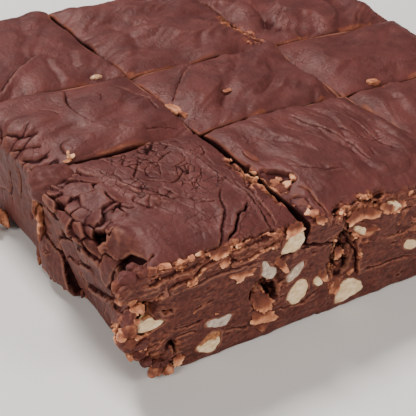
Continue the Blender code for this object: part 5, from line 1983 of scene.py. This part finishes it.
def almond_material():
    """Almond: cream flesh with a fine grain, brown papery skin, and fudge smeared over it."""
    n = Nodes("sliced_almond")
    smear, skin, glassy, _ = n.finish_parts()
    run = n.stored("grain")["Vector"]
    grain = n.grain(1, 3, 0.6, n.stretched((0.35, 1.8, 1.0), run))
    mottle = n.grain(1, 2, 0.5, n.stretched((0.6, 0.6, 0.6), run))
    flesh = n.mix(n.between(n.sum("MULTIPLY_ADD", grain, 0.6, n.sum("MULTIPLY", mottle, 0.4)), 0.36, 0.66),
                  NUT_SHADE, NUT_FLESH)
    husk = n.mix(n.between(n.grain(1200, 3), 0.35, 0.65), NUT_SKIN_DARK, NUT_SKIN_LIGHT)
    flesh = n.mix(glassy, flesh, n.mix(n.between(mottle, 0.35, 0.65), GLASSY_DARK, GLASSY_LIGHT))
    colour = n.mix(skin, flesh, husk)
    n.give("Base Color", n.mix(n.sum("MULTIPLY", smear, 0.92), colour, SMEARED_FUDGE))
    n.give("Roughness", n.between(grain, 0.3, 0.7, 0.38, 0.5))
    n.give("Subsurface Weight", 0.12)
    n.give("Subsurface Radius", (0.0012, 0.0008, 0.0004))
    n.give("Normal", n.bump(n.grain(1, 3, 0.6, n.stretched((0.8, 3.0, 1.6), run)), 0.0001, 0.35))
    return n.material


FLOOR_DARK = (0.74, 0.73, 0.71, 1.0)
FLOOR_LIGHT = (0.78, 0.77, 0.75, 1.0)
FLOOR_ROUGHNESS = 0.75


def floor_material():
    n = Nodes("pale_floor")
    n.give("Base Color", n.mix(n.grain(9, 3), FLOOR_DARK, FLOOR_LIGHT))
    n.give("Roughness", FLOOR_ROUGHNESS)
    return n.material


# ---------------------------------------------------------------- floor, light and camera

FLOOR_SIZE = 3.0

# The even light of the room, and its soft lights: name, azimuth, elevation, distance, size, power
# and colour.
ROOM_COLOUR = (0.84, 0.80, 0.82, 1.0)
ROOM_STRENGTH = 0.16
LIGHTS = (
    ("back_window", -165, 58, 1.0, 0.25, 14.0, (1.0, 0.96, 0.94)),
    ("left_room", -70, 30, 1.2, 0.4, 8.0, (1.0, 0.95, 0.9)),
    ("right_room", 30, 26, 1.2, 0.5, 9.0, (1.0, 0.95, 0.9)),
)
LIGHT_TARGET = Vector((0, 0, 0.02))

# The camera looks along this azimuth and down by this elevation, rolled a little, at a point on
# the front left square's top.
CAMERA_AZIMUTH = -40.0
CAMERA_ELEVATION = 32.6
CAMERA_ROLL = 7.6
CAMERA_TARGET = (27.6, 13.3, SLAB_HEIGHT)
CAMERA_DISTANCE = 255.6
CAMERA_LENS = 96.07
CAMERA_RANGE = (0.01, 20.0)


def look_axes(azimuth, elevation, roll=0.0):
    """A view's right, up and back directions."""
    az, el, turn = (math.radians(angle) for angle in (azimuth, elevation, roll))
    back = Vector((math.sin(az) * math.cos(el), -math.cos(az) * math.cos(el), math.sin(el)))
    right = Vector((0, 0, 1)).cross(back).normalized()
    up = back.cross(right)
    return (math.cos(turn) * right + math.sin(turn) * up,
            math.cos(turn) * up - math.sin(turn) * right, back)


def put(obj, axes, target, distance):
    """Places a camera or a light so that it looks at a target from a distance."""
    right, up, back = axes
    turn = Matrix((right, up, back)).transposed().to_4x4()
    obj.matrix_world = Matrix.Translation(target + back * distance) @ turn


def add_camera():
    data = bpy.data.cameras.new("camera")
    data.lens = CAMERA_LENS
    data.clip_start, data.clip_end = CAMERA_RANGE
    camera = linked("camera", data)
    target = Vector(to_world(np.array(CAMERA_TARGET)))
    put(camera, look_axes(CAMERA_AZIMUTH, CAMERA_ELEVATION, CAMERA_ROLL), target, CAMERA_DISTANCE * MM)
    bpy.context.scene.camera = camera


def add_soft_light(name, azimuth, elevation, distance, size, power, colour):
    data = bpy.data.lights.new(name, "AREA")
    data.shape, data.size, data.size_y = "RECTANGLE", size, size
    data.energy, data.color = power, colour
    put(linked(name, data), look_axes(azimuth, elevation), LIGHT_TARGET, distance)


def light_scene():
    world = bpy.data.worlds.new("soft_room")
    bpy.context.scene.world = world
    world.use_nodes = True
    background = world.node_tree.nodes["Background"]
    background.inputs["Color"].default_value = ROOM_COLOUR
    background.inputs["Strength"].default_value = ROOM_STRENGTH
    for light in LIGHTS:
        add_soft_light(*light)


def add_floor():
    floor = added(bpy.ops.mesh.primitive_plane_add, "floor", size=FLOOR_SIZE)
    floor.data.materials.append(floor_material())


# ---------------------------------------------------------------- everything

LOOSE_CRUMBS = 260


def main():
    fudge = fudge_material()
    almond = almond_material()
    surfaces = [
        make_square(column, row, fudge)
        for row in range(len(ROW_NAMES))
        for column in range(len(COLUMN_NAMES))
    ]
    make_lumps("fudge_corner_lumps", CORNER_LUMPS, fudge)
    make_lumps("fudge_rim_crumbs", rim_crumbs(), fudge, 4, 0.7)
    make_lumps("fudge_top_chips", TOP_CHIPS, fudge, 4, 0.4)
    seam = ridge_lumps(SEAM_RIDGE, 40, 1.0, 3) + ridge_lumps(FOOT_RIDGE, 16, 0.8, 4)
    make_lumps("fudge_seam_lumps", seam, fudge, 4)
    make_flakes("fudge_front_flakes", fudge)
    scatter_crumbs("fudge_crumbs", surfaces[:3], LOOSE_CRUMBS, fudge, 5)
    for place in face_nut_places():
        make_sliced_almond(place, almond)
    for label, place in top_nut_places().items():
        make_whole_almond(label, *place, almond)
    make_curled_crumb(fudge)
    add_floor()
    light_scene()
    add_camera()


main()
